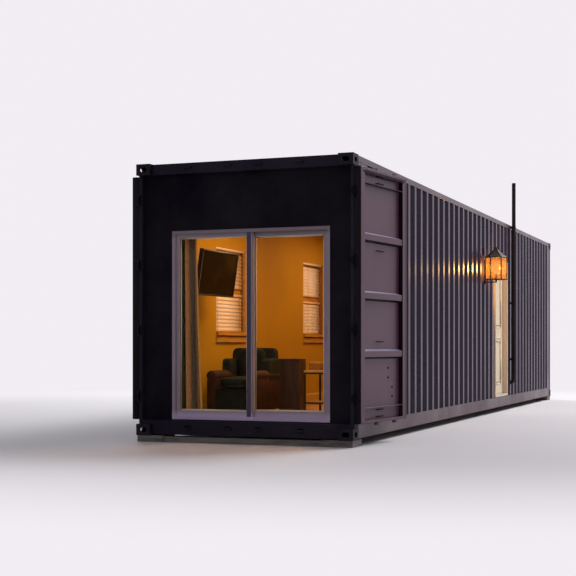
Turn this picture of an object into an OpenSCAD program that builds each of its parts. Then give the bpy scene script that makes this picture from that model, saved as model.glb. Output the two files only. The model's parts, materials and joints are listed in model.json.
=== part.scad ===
// A one-room cabin made from a forty foot high-cube shipping container.
// X is across the cabin, +Y runs from the door end to the closed end, +Z is up.
// The origin is on the ground, under the middle of the container.

/* [Container frame] */
// Length over the corner castings
box_l = 12192; // [11600:1:13700]
// Width over the corner castings
box_w = 2438; // [2380:1:2600]
// Height over the corner castings
box_h = 2896; // [2840:1:3100]
// Height of the support blocks under the corners
block_h = 70; // [40:1:200]
// Side of a support block
block_side = 300; // [250:1:400]
// Height of the sleeper between the blocks under the door end
sleeper_h = 60; // [30:1:66]
// Casting length, along the container
casting_l = 178; // [170:1:190]
// Casting width, across the container
casting_w = 162; // [150:1:175]
// Casting height
casting_h = 118; // [110:1:130]
// Wall thickness of a casting
casting_t = 18; // [12:1:24]
// Setback of rails, posts and sheets behind the castings
skin_inset = 4; // [2:1:8]
// Drop of the roof and the base rails behind the castings
rail_inset = 6; // [3:1:10]
// Plate thickness of rails, headers and sills
plate_t = 5; // [3:1:8]
// Height of the bottom rails and the door sill
sill_top = 160; // [150:1:175]
// Depth of a bottom rail, across the container
rail_flange = 48; // [40:1:60]
// Side of the square top rails
top_rail = 60; // [50:1:70]
// Width of a door-end post seen from the front
post_w = 40; // [34:1:60]
// Setback of the door-end posts behind the castings
post_inset = 52; // [48:1:60]
// Setback of the header and the sill behind the castings
header_inset = 47; // [46:1:55]
// Plate thickness of the closed-end posts
end_post_t = 6; // [4:1:10]

/* [Sheets] */
// Thickness of the corrugated sheets
sheet_t = 2; // [1.5:0.1:4]
// Pitch of the side corrugations
wave_pitch = 278; // [250:1:310]
// Depth of the side corrugations
wave_depth = 36; // [25:1:45]
// Width of an outer flat of the side corrugations
wave_crest = 72; // [60:1:90]
// Length of a sloped side of the side corrugations
wave_slope = 68; // [50:1:75]
// Plain strip between the door-end post and the first outer flat
plain_strip = 244; // [100:1:300]
// Pitch of the end-wall corrugations
end_pitch = 250; // [230:1:270]
// Depth of the end-wall corrugations
end_depth = 46; // [35:1:50]
// Pitch of the roof corrugations
roof_pitch = 209; // [180:1:240]
// Depth of the roof corrugations
roof_depth = 20; // [12:1:24]

/* [Floor and linings] */
// Thickness of the floor deck
deck_t = 28; // [24:1:34]
// Height of the deck above the bottom of the castings
floor_z = 170; // [166:1:180]
// Height of a cross member
joist_h = 118; // [100:1:122]
// Width of a cross member
joist_w = 45; // [35:1:60]
// Spacing of the cross members
joist_pitch = 400; // [300:1:600]
// Thickness of the insulated lining
lining_t = 77; // [50:1:120]
// Drop of the ceiling's underside below the top of the castings
ceiling_drop = 236; // [200:1:440]
// Thickness of the ceiling
ceiling_t = 80; // [40:1:110]

/* [Door-end infill and patio door] */
// Setback of the infill wall behind the castings
infill_inset = 112; // [110:1:130]
// Thickness of the infill wall
infill_t = 100; // [80:1:140]
// Width of the patio door frame
patio_w = 1780; // [1500:1:1900]
// Height of the patio door frame
patio_h = 2010; // [1900:1:2200]
// Offset of the patio door's middle to the right
patio_x = 45; // [0:1:80]
// Face width of the patio jambs and head
patio_jamb = 30; // [24:1:55]
// Height of the patio sill
patio_sill = 28; // [22:1:50]
// Height of the pad under the patio door frame
patio_pad = 13; // [8:1:30]
// Width of a patio panel's outer stile
stile_w = 50; // [40:1:80]
// Width of a patio panel's meeting stile
meeting_w = 64; // [50:1:80]
// Height of a patio panel's bottom rail
panel_bottom = 67; // [60:1:110]
// Height of a patio panel's top rail
panel_top = 48; // [42:1:80]
// Thickness of a patio panel
panel_t = 36; // [30:1:40]
// Thickness of the double glazing
pane_t = 18; // [14:1:24]
// Gap round the sliding panel
slide_gap = 6; // [5:0.5:8]

/* [Container doors] */
// Distance of a hinge pin from the container's side
pin_side = 14; // [12:1:18]
// Distance of a hinge pin behind the castings' front
pin_front = 20; // [18:1:24]
// Radius of a hinge pin
pin_r = 9; // [7:0.5:10]
// Radius of a hinge knuckle
knuckle_r = 15; // [13:0.5:16]
// Height of a hinge knuckle
knuckle_h = 70; // [50:1:100]
// Number of hinges on each leaf
hinge_count = 4; // [3:1:5]
// Gap between a leaf and the frame round it
leaf_gap = 5; // [5:0.5:10]
// Gap between the two leaves
meeting_gap = 10; // [10:1:20]
// Thickness of a leaf
leaf_t = 50; // [40:1:52]
// Width of a leaf's stiles
leaf_stile = 100; // [80:1:120]
// Height of the channels along a leaf's top and bottom
leaf_channel = 156; // [120:1:220]
// Height of a leaf's cross ribs at their foot
leaf_rib = 100; // [70:1:150]
// Plate thickness of a leaf
leaf_plate = 4; // [3:1:6]
// How far the leaves are opened, from shut
leaf_open = 262.5; // [250:0.5:264]
// Radius of a locking rod
rod_r = 16; // [12:0.5:17]
// Distance of the outer locking rod from the hinge pin
rod_out = 572; // [450:1:600]
// Distance of the inner locking rod from the hinge pin
rod_in = 1035; // [900:1:1080]
// Reach of a locking rod past the top and bottom of the leaf
rod_reach = 36; // [25:1:45]

/* [Side openings] */
// Width of the left windows
window_w = 910; // [700:1:1100]
// Height of the left windows
window_h = 1050; // [800:1:1250]
// Bottom of the left windows above the bottom of the castings
window_z = 1110; // [900:1:1150]
// Front edge of the first left window from the door end
window_1 = 1820; // [1500:1:2200]
// Front edge of the second left window from the door end
window_2 = 4850; // [4300:1:5400]
// Face width of a window frame
window_face = 38; // [30:1:60]
// Front edge of the entry door frame from the door end
entry_y = 7020; // [6900:1:7060]
// Width of the entry door frame
entry_w = 960; // [900:1:980]
// Height of the entry door frame
entry_h = 2110; // [2050:1:2200]
// Width of the entry door's jambs
entry_jamb = 35; // [28:1:50]
// Thickness of the entry door leaf
entry_t = 45; // [38:1:50]

/* [Fittings] */
// Outer flat that carries the wall lantern, counted from the door end
lantern_rib = 21; // [15:1:22]
// Width of the lantern's six-sided cage over its corners
lantern_w = 320; // [240:1:330]
// Height of the lantern's cage
lantern_h = 330; // [250:1:380]
// Height of the lantern's roof
lantern_roof = 135; // [100:1:200]
// Bottom of the lantern's cage above the bottom of the castings
lantern_z = 1920; // [1800:1:1950]
// Outer flat that carries the vent pipe, counted from the door end
pipe_rib = 28; // [27:1:36]
// Radius of the vent pipe
pipe_r = 30; // [25:1:40]
// Top of the vent pipe above the bottom of the castings
pipe_top = 3570; // [3200:1:3700]
// Bottom of the vent pipe above the bottom of the castings
pipe_low = 420; // [300:1:700]
// Width of the television
tv_w = 900; // [700:1:1050]
// Height of the television
tv_h = 520; // [420:1:620]
// Reach of the television from the left lining
tv_reach = 300; // [250:1:420]
// Width of the gathered curtain
curtain_w = 230; // [150:1:300]
// Width of the armchair
chair_w = 610; // [560:1:850]
// Depth of the armchair
chair_d = 800; // [700:1:900]
// Width of the metal table
table_w = 560; // [400:1:600]

/* [Hidden] */

$fn = 32;
eps = 0.3;
side_x = box_w / 2;
skin_x = side_x - skin_inset;
post_x = skin_x - post_w;
cast_x = side_x - casting_w;
wall_y0 = casting_l;
wall_y1 = box_l - casting_l;
header_z = box_h - casting_h;
roof_z = box_h - rail_inset;
base_z = rail_inset + 6;
rail_z = roof_z - top_rail;
lining_x = skin_x - wave_depth - sheet_t;
room_x = lining_x - lining_t;
ceiling_z = box_h - ceiling_drop;
infill_back = infill_inset + infill_t;
end_lining_y1 = box_l - skin_inset - end_depth - sheet_t;
end_lining_y0 = end_lining_y1 - lining_t;
end_beam = 60;
deck_x = skin_x - rail_flange - 2;
deck_y1 = box_l - skin_inset - end_beam;
deck_z = floor_z - deck_t;
patio_x0 = patio_x - patio_w / 2;
patio_x1 = patio_x + patio_w / 2;
patio_z0 = sill_top + patio_pad;
patio_z1 = patio_z0 + patio_h;

// A box given by its low and high limits along each axis.
module slab(x, y, z) {
  translate([x[0], y[0], z[0]]) cube([x[1] - x[0], y[1] - y[0], z[1] - z[0]]);
}

// Moves from the container's own corner frame to the ground frame.
module on_blocks() {
  translate([0, -box_l / 2, block_h]) children();
}

// A piece and its mirror image on the other side.
module both_sides() {
  children();
  mirror([1, 0, 0]) children();
}

// Breaks of a corrugated sheet between a and b, as pairs of distance and depth.
function wave_breaks(a, b, first, pitch, crest, slope, depth) =
  let (count = floor((b - first - crest) / pitch))
  concat(
    [[a, 0]],
    [for (k = [0:count - 1], p = [
      [crest, 0], [crest + slope, depth], [pitch - slope, depth], [pitch, 0]
    ]) [first + k * pitch + p[0], p[1]]],
    [[b, 0]]
  );

// The part of those breaks between two cuts, with its ends worked out on the sheet.
function wave_part(breaks, a, b) = concat(
  [[a, lookup(a, breaks)]],
  [for (p = breaks) if (p[0] > a && p[0] < b) p],
  [[b, lookup(b, breaks)]]
);

// Closed outline of a sheet of thickness t whose outer face lies at distance 0.
function sheet_outline(part, t) = concat(
  part,
  [for (i = [len(part) - 1:-1:0]) [part[i][0], part[i][1] + t]]
);

side_first = wall_y0 + plain_strip;
side_breaks = wave_breaks(wall_y0, wall_y1, side_first, wave_pitch, wave_crest, wave_slope, wave_depth);
function rib_y(k) = side_first + k * wave_pitch + wave_crest / 2;

// Right side sheet between two places along the container and two heights.
module side_sheet(y, z) {
  translate([skin_x, 0, z[0]])
    linear_extrude(z[1] - z[0])
      polygon([for (p = sheet_outline(wave_part(side_breaks, y[0], y[1]), sheet_t)) [-p[1], p[0]]]);
}

support_inset = 10;
sleeper_y = [30, 180];
module support_blocks() {
  block_x = side_x - support_inset - block_side;
  color("dimgray") translate([0, -box_l / 2, 0]) {
    both_sides() for (y = [support_inset, box_l - support_inset - block_side])
      slab([block_x, side_x - support_inset], [y, y + block_side], [0, block_h]);
    slab([-block_x - 5, block_x + 5], sleeper_y, [0, sleeper_h]);
  }
}

slot_w = 51;
slot_l = 80;
top_slot_w = 63;
top_slot_l = 124;
// A slot with round ends through a casting wall, along Z, its length along Y.
module round_slot(w, l, h) {
  translate([-w / 2, -(l - w) / 2, 0]) cube([w, l - w, h]);
  for (s = [-1, 1]) translate([0, s * (l - w) / 2, 0]) cylinder(r = w / 2, h = h);
}

// One hollow casting for a top corner, its outer corner at the origin, body towards -X, +Y and -Z.
module casting() {
  difference() {
    slab([-casting_w, 0], [0, casting_l], [-casting_h, 0]);
    slab([casting_t - casting_w, -casting_t], [casting_t, casting_l - casting_t],
      [casting_t - casting_h, -casting_t]);
    translate([-casting_w / 2, casting_l / 2, -casting_t - 1])
      round_slot(top_slot_w, top_slot_l, casting_t + 2);
    translate([-casting_t - 1, casting_l / 2, -casting_h / 2]) rotate([0, 90, 0])
      round_slot(slot_w, slot_l, casting_t + 2);
    translate([-casting_w / 2, -1, -casting_h / 2]) rotate([-90, 0, 0]) rotate(90)
      round_slot(slot_w, slot_l, casting_t + 2);
  }
}

module corner_castings() {
  color("#26242a") on_blocks() both_sides() {
    for (back = [0, 1], low = [0, 1])
      translate([side_x, back * box_l, (1 - low) * box_h])
        mirror([0, back, 0]) mirror([0, 0, low]) casting();
  }
}

module corner_posts() {
  post_bevel = 8;
  end_leg = casting_w;
  chamfer = 30;
  color("#221f26") on_blocks() both_sides() {
    translate([0, 0, casting_h]) linear_extrude(box_h - 2 * casting_h) difference() {
      polygon([[post_x, post_inset], [skin_x - post_bevel, post_inset], [skin_x, post_inset + post_bevel],
        [skin_x, casting_l], [post_x, casting_l]]);
      translate([post_x + end_post_t, post_inset + end_post_t + post_bevel])
        square([post_w - 2 * end_post_t, casting_l - post_inset - 2 * end_post_t - post_bevel]);
    }
    translate([0, 0, casting_h]) linear_extrude(box_h - 2 * casting_h) polygon([
      [skin_x, wall_y1], [skin_x, box_l - skin_inset - chamfer], [skin_x - chamfer, box_l - skin_inset],
      [side_x - end_leg, box_l - skin_inset], [side_x - end_leg, box_l - skin_inset - end_post_t],
      [skin_x - chamfer - end_post_t / 2, box_l - skin_inset - end_post_t],
      [skin_x - end_post_t, box_l - skin_inset - chamfer - end_post_t / 2], [skin_x - end_post_t, wall_y1]
    ]);
  }
}

pin_x = side_x - pin_side;
leaf_near = pin_x - post_x + leaf_gap;
leaf_far = pin_x - meeting_gap / 2;
leaf_z0 = sill_top + leaf_gap + 3;
leaf_z1 = header_z - leaf_gap - 8;
leaf_face = 26;
lug_t = 16;
lug_gap = 5;
blade_t = 11;
hinge_end = 250;
function hinge_z(k) = leaf_z0 + hinge_end + k * (leaf_z1 - leaf_z0 - 2 * hinge_end) / (hinge_count - 1);

// The fixed half of each hinge: two lugs on the post, and the pin between them.
module hinge_lugs() {
  lug_side = knuckle_r;
  lug_x1 = min(pin_x + knuckle_r, skin_x);
  color("#2b282f") on_blocks() both_sides() for (k = [0:hinge_count - 1]) translate([0, 0, hinge_z(k)]) {
    for (s = [-1, 1]) translate([0, 0, s * (knuckle_h / 2 + lug_gap + lug_t / 2)])
      translate([0, 0, -lug_t / 2]) {
        slab([pin_x - lug_side + 2, lug_x1], [pin_front, post_inset], [0, lug_t]);
        translate([pin_x, pin_front, 0]) cylinder(r = knuckle_r - 4, h = lug_t);
      }
    translate([pin_x, pin_front, -knuckle_h / 2 - lug_gap - lug_t - 4])
      cylinder(r = pin_r, h = knuckle_h + 2 * lug_gap + 2 * lug_t + 8);
  }
}

keeper_w = 78;
keeper_h = 30;
keeper_y = 27;
header_keeper_drop = 66;
sill_keeper_drop = 94;
slot_h = 12;
// Places a locking rod's keeper on the header or the sill.
module at_rods(z) {
  for (r = [rod_out, rod_in]) both_sides() translate([pin_x - r, 0, z]) children();
}

// A welded keeper with a bevelled top, which the rod's cam turns in behind.
module keeper() {
  bevel = 8;
  translate([-keeper_w / 2, 0, 0]) rotate([90, 0, 90]) linear_extrude(keeper_w) polygon([
    [header_inset + 1, 0], [keeper_y, bevel], [keeper_y, keeper_h - bevel], [header_inset + 1, keeper_h]
  ]);
}

// The pocket above a keeper, through the beam's front plate.
module keeper_slot() {
  slab([-keeper_w / 2, keeper_w / 2], [header_inset - 1, header_inset + plate_t + 1],
    [keeper_h, keeper_h + slot_h]);
}

// A hollow beam across the door end or the closed end.
module cross_beam(half, y, z) {
  difference() {
    slab([-half, half], y, z);
    slab([-half - 1, half + 1], [y[0] + plate_t, y[1] - plate_t], [z[0] + plate_t, z[1] - plate_t]);
  }
}

module door_header() {
  color("#201d24") on_blocks() {
    cross_beam(cast_x, [header_inset, casting_l], [header_z, roof_z]);
    at_rods(roof_z - header_keeper_drop) keeper();
  }
}

module door_sill() {
  color("#201d24") on_blocks() {
    difference() {
      cross_beam(cast_x, [header_inset, casting_l], [base_z, sill_top]);
      at_rods(sill_top - sill_keeper_drop) keeper_slot();
    }
    for (s = [-1, 1]) scale([s, 1, 1])
      slab([cast_x - plate_t, post_x], [header_inset + 7, casting_l], [casting_h, sill_top]);
    at_rods(sill_top - sill_keeper_drop) keeper();
  }
}

module rear_frame() {
  color("#201d24") on_blocks() {
    cross_beam(cast_x, [wall_y1, box_l - skin_inset], [header_z, roof_z]);
    cross_beam(cast_x, [box_l - skin_inset - end_beam, box_l - skin_inset], [base_z, sill_top]);
  }
}

// Channel along each side, open to the inside.
module bottom_rails() {
  color("#201d24") on_blocks() both_sides() translate([0, wall_y0, 0])
    rotate([-90, 0, 0]) linear_extrude(wall_y1 - wall_y0) polygon([
      [skin_x, -base_z], [skin_x, -sill_top], [skin_x - rail_flange, -sill_top],
      [skin_x - rail_flange, plate_t - sill_top], [skin_x - plate_t, plate_t - sill_top],
      [skin_x - plate_t, -base_z - plate_t], [skin_x - rail_flange, -base_z - plate_t],
      [skin_x - rail_flange, -base_z]
    ]);
}

module top_rails() {
  rail_t = 4;
  color("#201d24") on_blocks() both_sides() difference() {
    slab([skin_x - top_rail, skin_x], [wall_y0, wall_y1], [rail_z, roof_z]);
    slab([skin_x - top_rail + rail_t, skin_x - rail_t], [wall_y0 - 1, wall_y1 + 1],
      [rail_z + rail_t, roof_z - rail_t]);
  }
}

// Channels that carry the deck from rail to rail.
module cross_members() {
  count = floor((wall_y1 - wall_y0 - joist_w) / joist_pitch);
  pitch = (wall_y1 - wall_y0 - joist_w) / count;
  half = skin_x - plate_t;
  joist_t = 4.5;
  joist_z = deck_z - joist_h;
  color("#19171c") on_blocks() for (k = [0:count]) translate([-half, wall_y0 + k * pitch, 0])
    rotate([90, 0, 90]) linear_extrude(2 * half) polygon([
      [0, joist_z], [joist_w, joist_z], [joist_w, joist_z + joist_t], [joist_t, joist_z + joist_t],
      [joist_t, deck_z - joist_t], [joist_w, deck_z - joist_t], [joist_w, deck_z], [0, deck_z]
    ]);
}

module floor_deck() {
  color("#6f5a45") on_blocks() slab([-deck_x, deck_x], [infill_back, deck_y1], [deck_z, floor_z]);
}

module roof_panel() {
  half = skin_x - top_rail;
  crest = 91;
  slope = 14;
  breaks = wave_breaks(wall_y0, wall_y1, wall_y0 + 60, roof_pitch, crest, slope, roof_depth);
  color("#2a272e") on_blocks() translate([-half, 0, 0]) rotate([90, 0, 90])
    linear_extrude(2 * half) polygon([for (p = sheet_outline(breaks, sheet_t)) [p[0], roof_z - p[1]]]);
}

module ceiling() {
  color("#d8c9a8") on_blocks()
    slab([-room_x, room_x], [infill_back, end_lining_y0], [ceiling_z, ceiling_z + ceiling_t]);
}

// A window-sized hole through the left wall.
module window_holes() {
  for (y = [window_1, window_2])
    slab([-side_x - 1, 1 - room_x], [y, y + window_w], [window_z, window_z + window_h]);
}

module left_wall() {
  color("#2c2931") on_blocks() difference() {
    mirror([1, 0, 0]) side_sheet([wall_y0, wall_y1], [sill_top, rail_z]);
    window_holes();
  }
}

entry_y1 = entry_y + entry_w;
entry_z1 = floor_z + entry_h;
module right_wall() {
  color("#2c2931") on_blocks() {
    side_sheet([wall_y0, entry_y], [sill_top, rail_z]);
    side_sheet([entry_y1, wall_y1], [sill_top, rail_z]);
  }
}

module right_wall_over_door() {
  color("#2c2931") on_blocks() side_sheet([entry_y, entry_y1], [entry_z1, rail_z]);
}

module end_wall() {
  crest = 110;
  slope = 18;
  breaks = wave_breaks(-cast_x, cast_x, -cast_x + 60, end_pitch, crest, slope, end_depth);
  color("#2c2931") on_blocks() translate([0, box_l - skin_inset, sill_top])
    linear_extrude(header_z - sill_top)
      polygon([for (p = sheet_outline(breaks, sheet_t)) [p[0], -p[1]]]);
}

module left_lining() {
  color("#c98a3a") on_blocks() difference() {
    slab([-lining_x, -room_x], [infill_back, end_lining_y0], [floor_z, header_z]);
    window_holes();
  }
}

module right_lining() {
  color("#c98a3a") on_blocks() {
    slab([room_x, lining_x], [infill_back, entry_y], [floor_z, header_z]);
    slab([room_x, lining_x], [entry_y1, end_lining_y0], [floor_z, header_z]);
  }
}

module right_lining_over_door() {
  color("#c98a3a") on_blocks() slab([room_x, lining_x], [entry_y, entry_y1], [entry_z1, header_z]);
}

module end_lining() {
  color("#c98a3a") on_blocks()
    slab([-lining_x, lining_x], [end_lining_y0, end_lining_y1], [floor_z, header_z]);
}

module infill_sides() {
  color("#1b191e") on_blocks() {
    slab([-post_x, patio_x0], [infill_inset, infill_back], [sill_top, header_z]);
    slab([patio_x1, post_x], [infill_inset, infill_back], [sill_top, header_z]);
    slab([patio_x0 - 1, patio_x1 + 1], [infill_inset, infill_back], [sill_top, patio_z0]);
  }
}

module infill_over_door() {
  color("#1b191e") on_blocks()
    slab([patio_x0, patio_x1], [infill_inset, infill_back], [patio_z1, header_z]);
}

patio_front = infill_inset - 4;
track_y = patio_front + 14;
track_gap = 14;
slide_y = track_y + panel_t + track_gap;
patio_clear = patio_w - 2 * patio_jamb;
panel_w = (patio_clear + meeting_w) / 2;
panel_z0 = patio_z0 + patio_sill;
panel_z1 = patio_z1 - patio_jamb;

// The frame round the two panels, with an outer stop and the rail that the sliding panel runs on.
module patio_frame() {
  rib = 10;
  color("#d9d4dc") on_blocks() {
    difference() {
      slab([patio_x0, patio_x1], [patio_front, infill_back], [patio_z0, patio_z1]);
      slab([patio_x0 + patio_jamb, patio_x1 - patio_jamb], [patio_front - 1, infill_back + 1],
        [panel_z0, panel_z1]);
    }
    for (z = [[panel_z0 - 1, panel_z0 + rib], [panel_z1 - rib, panel_z1 + 1]])
      slab([patio_x0 + patio_jamb - 1, patio_x1 - patio_jamb + 1], [patio_front, track_y], z);
    slab([patio_x0 + patio_jamb - 1, patio_x0 + patio_jamb + rib], [patio_front, track_y],
      [panel_z0 - 1, panel_z1 + 1]);
    slab([patio_x0 + patio_jamb - 1, patio_x1 - patio_jamb + 1], [slide_y + 12, slide_y + panel_t - 12],
      [panel_z0 - 1, panel_z0 + slide_gap - eps]);
  }
}

// The rails and stiles round one pane, whose left stile is a wide, with the low left corner at the origin.
module panel(w, h, a) {
  difference() {
    cube([w, panel_t, h]);
    translate([a, -1, panel_bottom])
      cube([w - stile_w - meeting_w, panel_t + 2, h - panel_bottom - panel_top]);
  }
}

module pane(w, h, a) {
  translate([a, (panel_t - pane_t) / 2, panel_bottom])
    cube([w - stile_w - meeting_w, pane_t, h - panel_bottom - panel_top]);
}

panel_h = panel_z1 - panel_z0;
slide_w = panel_w - slide_gap;
slide_h = panel_h - 2 * slide_gap;
slide_x = patio_x1 - patio_jamb - slide_gap - slide_w;
module patio_fixed_panel() {
  color("#e4e0e6") on_blocks() translate([patio_x0 + patio_jamb, track_y, panel_z0])
    panel(panel_w, panel_h, stile_w);
}

module patio_fixed_glass() {
  color("#c7d3d6", 0.35) on_blocks() translate([patio_x0 + patio_jamb, track_y, panel_z0])
    pane(panel_w, panel_h, stile_w);
}

handle_h = 260;
handle_z = 820;
module patio_sliding_panel() {
  color("#e4e0e6") on_blocks() translate([slide_x, slide_y, panel_z0 + slide_gap]) {
    panel(slide_w, slide_h, meeting_w);
    translate([slide_w - stile_w / 2, 0, handle_z]) difference() {
      slab([-12, 12], [panel_t - 1, panel_t + 36], [0, handle_h]);
      slab([-13, 13], [panel_t - 2, panel_t + 22], [25, handle_h - 25]);
    }
  }
}

module patio_sliding_glass() {
  color("#c7d3d6", 0.35) on_blocks() translate([slide_x, slide_y, panel_z0 + slide_gap])
    pane(slide_w, slide_h, meeting_w);
}

// Places a leaf's shut shape at its open angle about the right-hand pin.
module opened() {
  translate([pin_x, pin_front, 0]) rotate(leaf_open) children();
}

// Section of a leaf's sheet and channels: distance behind the outer face against height.
rib_count = 3;
rib_slope = 20;
rib_rise = 40;
leaf_flat = (leaf_z1 - leaf_z0 - 2 * leaf_channel - rib_count * leaf_rib) / (rib_count + 1);
function rib_z(k) = leaf_z0 + leaf_channel + (k + 1) * leaf_flat + (k + 0.5) * leaf_rib;

// One leaf in its shut place, seen from the hinge pin, reaching towards -X.
module leaf() {
  sheet = concat(
    [[0, leaf_z0 + leaf_channel - 1]],
    [for (k = [0:rib_count - 1], p = [
      [0, -leaf_rib / 2], [rib_rise, rib_slope - leaf_rib / 2], [rib_rise, leaf_rib / 2 - rib_slope],
      [0, leaf_rib / 2]
    ]) [p[0], rib_z(k) + p[1]]],
    [[0, leaf_z1 - leaf_channel + 1]]
  );
  outline = concat(sheet, [for (i = [len(sheet) - 1:-1:0]) [sheet[i][0] + leaf_plate, sheet[i][1]]]);
  inner = leaf_stile - 1;
  translate([0, leaf_face, 0]) {
    for (x = [[-leaf_near - leaf_stile, -leaf_near], [-leaf_far, leaf_stile - leaf_far]]) difference() {
      slab(x, [0, leaf_t], [leaf_z0, leaf_z1]);
      slab([x[0] + leaf_plate, x[1] - leaf_plate], [leaf_plate, leaf_t - leaf_plate],
        [leaf_z0 + leaf_plate, leaf_z1 - leaf_plate]);
    }
    translate([-leaf_near - inner, 0, 0]) rotate([90, 0, -90])
      linear_extrude(leaf_far - leaf_near - 2 * inner)
        polygon([for (p = outline) [-p[0], p[1]]]);
    for (z = [leaf_z0, leaf_z1 - leaf_channel]) difference() {
      slab([inner - leaf_far, -leaf_near - inner], [0, leaf_t], [z, z + leaf_channel]);
      slab([inner - leaf_far - 1, 1 - leaf_near - inner], [leaf_plate, leaf_t + 1],
        [z + leaf_plate, z + leaf_channel - leaf_plate]);
    }
  }
  blade_l = leaf_near + leaf_stile;
  for (k = [0:hinge_count - 1]) translate([0, 0, hinge_z(k) - knuckle_h / 2]) difference() {
    union() {
      cylinder(r = knuckle_r, h = knuckle_h);
      slab([-knuckle_r, 0], [0, leaf_face - blade_t + 1], [0, knuckle_h]);
      slab([-blade_l, 0], [leaf_face - blade_t, leaf_face + 0.5], [0, knuckle_h]);
    }
    translate([0, 0, -1]) cylinder(r = pin_r + 0.05, h = knuckle_h + 2);
  }
}

module cargo_door_right() {
  color("#3a3540") on_blocks() opened() leaf();
}

module cargo_door_left() {
  color("#3a3540") on_blocks() mirror([1, 0, 0]) opened() leaf();
}

// Two locking rods with cams, guides and lever handles on a leaf's outer face.
module locking_gear() {
  rod_y = leaf_face - rod_r - 5;
  guide_w = 70;
  guide_h = 60;
  cam_w = 50;
  for (i = [0, 1]) {
    x = -[rod_out, rod_in][i];
    translate([x, rod_y, leaf_z0 - rod_reach]) cylinder(r = rod_r, h = leaf_z1 - leaf_z0 + 2 * rod_reach);
    for (z = [leaf_z0 - rod_reach, leaf_z1 + rod_reach - 30])
      slab([x - cam_w / 2, x + cam_w / 2], [rod_y - 14, rod_y + 14], [z, z + 30]);
    for (z = [leaf_z0 + 85, rib_z(0) + 190, rib_z(1) + 190, leaf_z1 - 85 - guide_h])
      slab([x - guide_w / 2, x + guide_w / 2], [rod_y - rod_r - 2, leaf_face - eps], [z, z + guide_h]);
    hz = leaf_z0 + (i == 0 ? 560 : 380);
    slab([x - 20, x + 20], [rod_y - rod_r - 1, rod_y + rod_r + 1], [hz - 20, hz + 60]);
    slab([x + (i == 0 ? -360 : 0), x + (i == 0 ? 0 : 360)], [rod_y - 10, rod_y + 4], [hz, hz + 36]);
  }
}

module locking_gear_right() {
  color("#4a4650") on_blocks() opened() locking_gear();
}

module locking_gear_left() {
  color("#4a4650") on_blocks() mirror([1, 0, 0]) opened() locking_gear();
}

entry_out_x = side_x + 3;
entry_in_x = room_x;
entry_sill = 30;
entry_leaf_gap = 5;
entry_leaf_x = room_x + 4;
entry_z0 = floor_z;
entry_knuckle_r = 8;
entry_swing_gap = 9;
// Jambs, head, threshold and stops round the entry door.
module entry_door_frame() {
  stop_w = 14;
  stop_x = entry_leaf_x + entry_t + entry_leaf_gap;
  color("#e9e2d2") on_blocks() {
    difference() {
      slab([entry_in_x, entry_out_x], [entry_y, entry_y1], [entry_z0, entry_z1]);
      slab([entry_in_x - 1, entry_out_x + 1], [entry_y + entry_jamb, entry_y1 - entry_jamb],
        [entry_z0 + entry_sill, entry_z1 - entry_jamb]);
    }
    difference() {
      slab([stop_x, entry_out_x - 20], [entry_y + entry_jamb - 1, entry_y1 - entry_jamb + 1],
        [entry_z0 + entry_sill - 1, entry_z1 - entry_jamb + 1]);
      slab([stop_x - 1, entry_out_x], [entry_y + entry_jamb + stop_w, entry_y1 - entry_jamb - stop_w],
        [entry_z0 + entry_sill - 2, entry_z1 - entry_jamb - stop_w]);
    }
    for (k = [0:2]) translate([0, 0, entry_hinge_z(k)]) entry_jamb_hinge();
  }
}

entry_pin_x = room_x - entry_knuckle_r - 1;
entry_pin_y = entry_y1 - entry_jamb - entry_leaf_gap / 2;
entry_pin_r = 4;
entry_knuckle_h = 40;
function entry_hinge_z(k) = entry_z0 + entry_sill + 200 + k * (entry_h - 460) / 2;

// The jamb's share of each butt hinge: its pin, the two outer knuckles and their plate.
module entry_jamb_hinge() {
  for (z = [-1.5 * entry_knuckle_h - 1, entry_knuckle_h / 2 + 1]) translate([entry_pin_x, entry_pin_y, z]) {
    cylinder(r = entry_knuckle_r, h = entry_knuckle_h);
    slab([2, room_x - entry_pin_x + 0.5], [0, entry_jamb - 5], [0, entry_knuckle_h]);
  }
  translate([entry_pin_x, entry_pin_y, -1.5 * entry_knuckle_h])
    cylinder(r = entry_pin_r, h = 3 * entry_knuckle_h);
}

// The leaf's share: the middle knuckle and its plate on the leaf's room face.
module entry_leaf_hinge() {
  translate([entry_pin_x, entry_pin_y, -entry_knuckle_h / 2]) difference() {
    union() {
      cylinder(r = entry_knuckle_r, h = entry_knuckle_h);
      slab([4, entry_leaf_x - entry_pin_x + 0.5], [-entry_jamb, 0], [0, entry_knuckle_h]);
    }
    translate([0, 0, -1]) cylinder(r = entry_pin_r + 0.05, h = entry_knuckle_h + 2);
  }
}

entry_leaf_y0 = entry_y + entry_jamb + entry_swing_gap;
entry_leaf_y1 = entry_y1 - entry_jamb - entry_leaf_gap;
entry_leaf_z0 = entry_z0 + entry_sill + entry_leaf_gap;
entry_leaf_z1 = entry_z1 - entry_jamb - entry_leaf_gap;
lock_rail_z = 950;
module entry_door_leaf() {
  field = 140;
  recess = 8;
  mid = entry_leaf_z0 + lock_rail_z;
  color("#e6d3ae") on_blocks() {
    difference() {
      slab([entry_leaf_x, entry_leaf_x + entry_t], [entry_leaf_y0, entry_leaf_y1],
        [entry_leaf_z0, entry_leaf_z1]);
      for (z = [[entry_leaf_z0 + field, mid - field / 2], [mid + field / 2, entry_leaf_z1 - field]],
           x = [entry_leaf_x - 1, entry_leaf_x + entry_t - recess])
        slab([x, x + recess + 1], [entry_leaf_y0 + field, entry_leaf_y1 - field], z);
    }
    for (k = [0:2]) translate([0, 0, entry_hinge_z(k)]) entry_leaf_hinge();
  }
}

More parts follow.
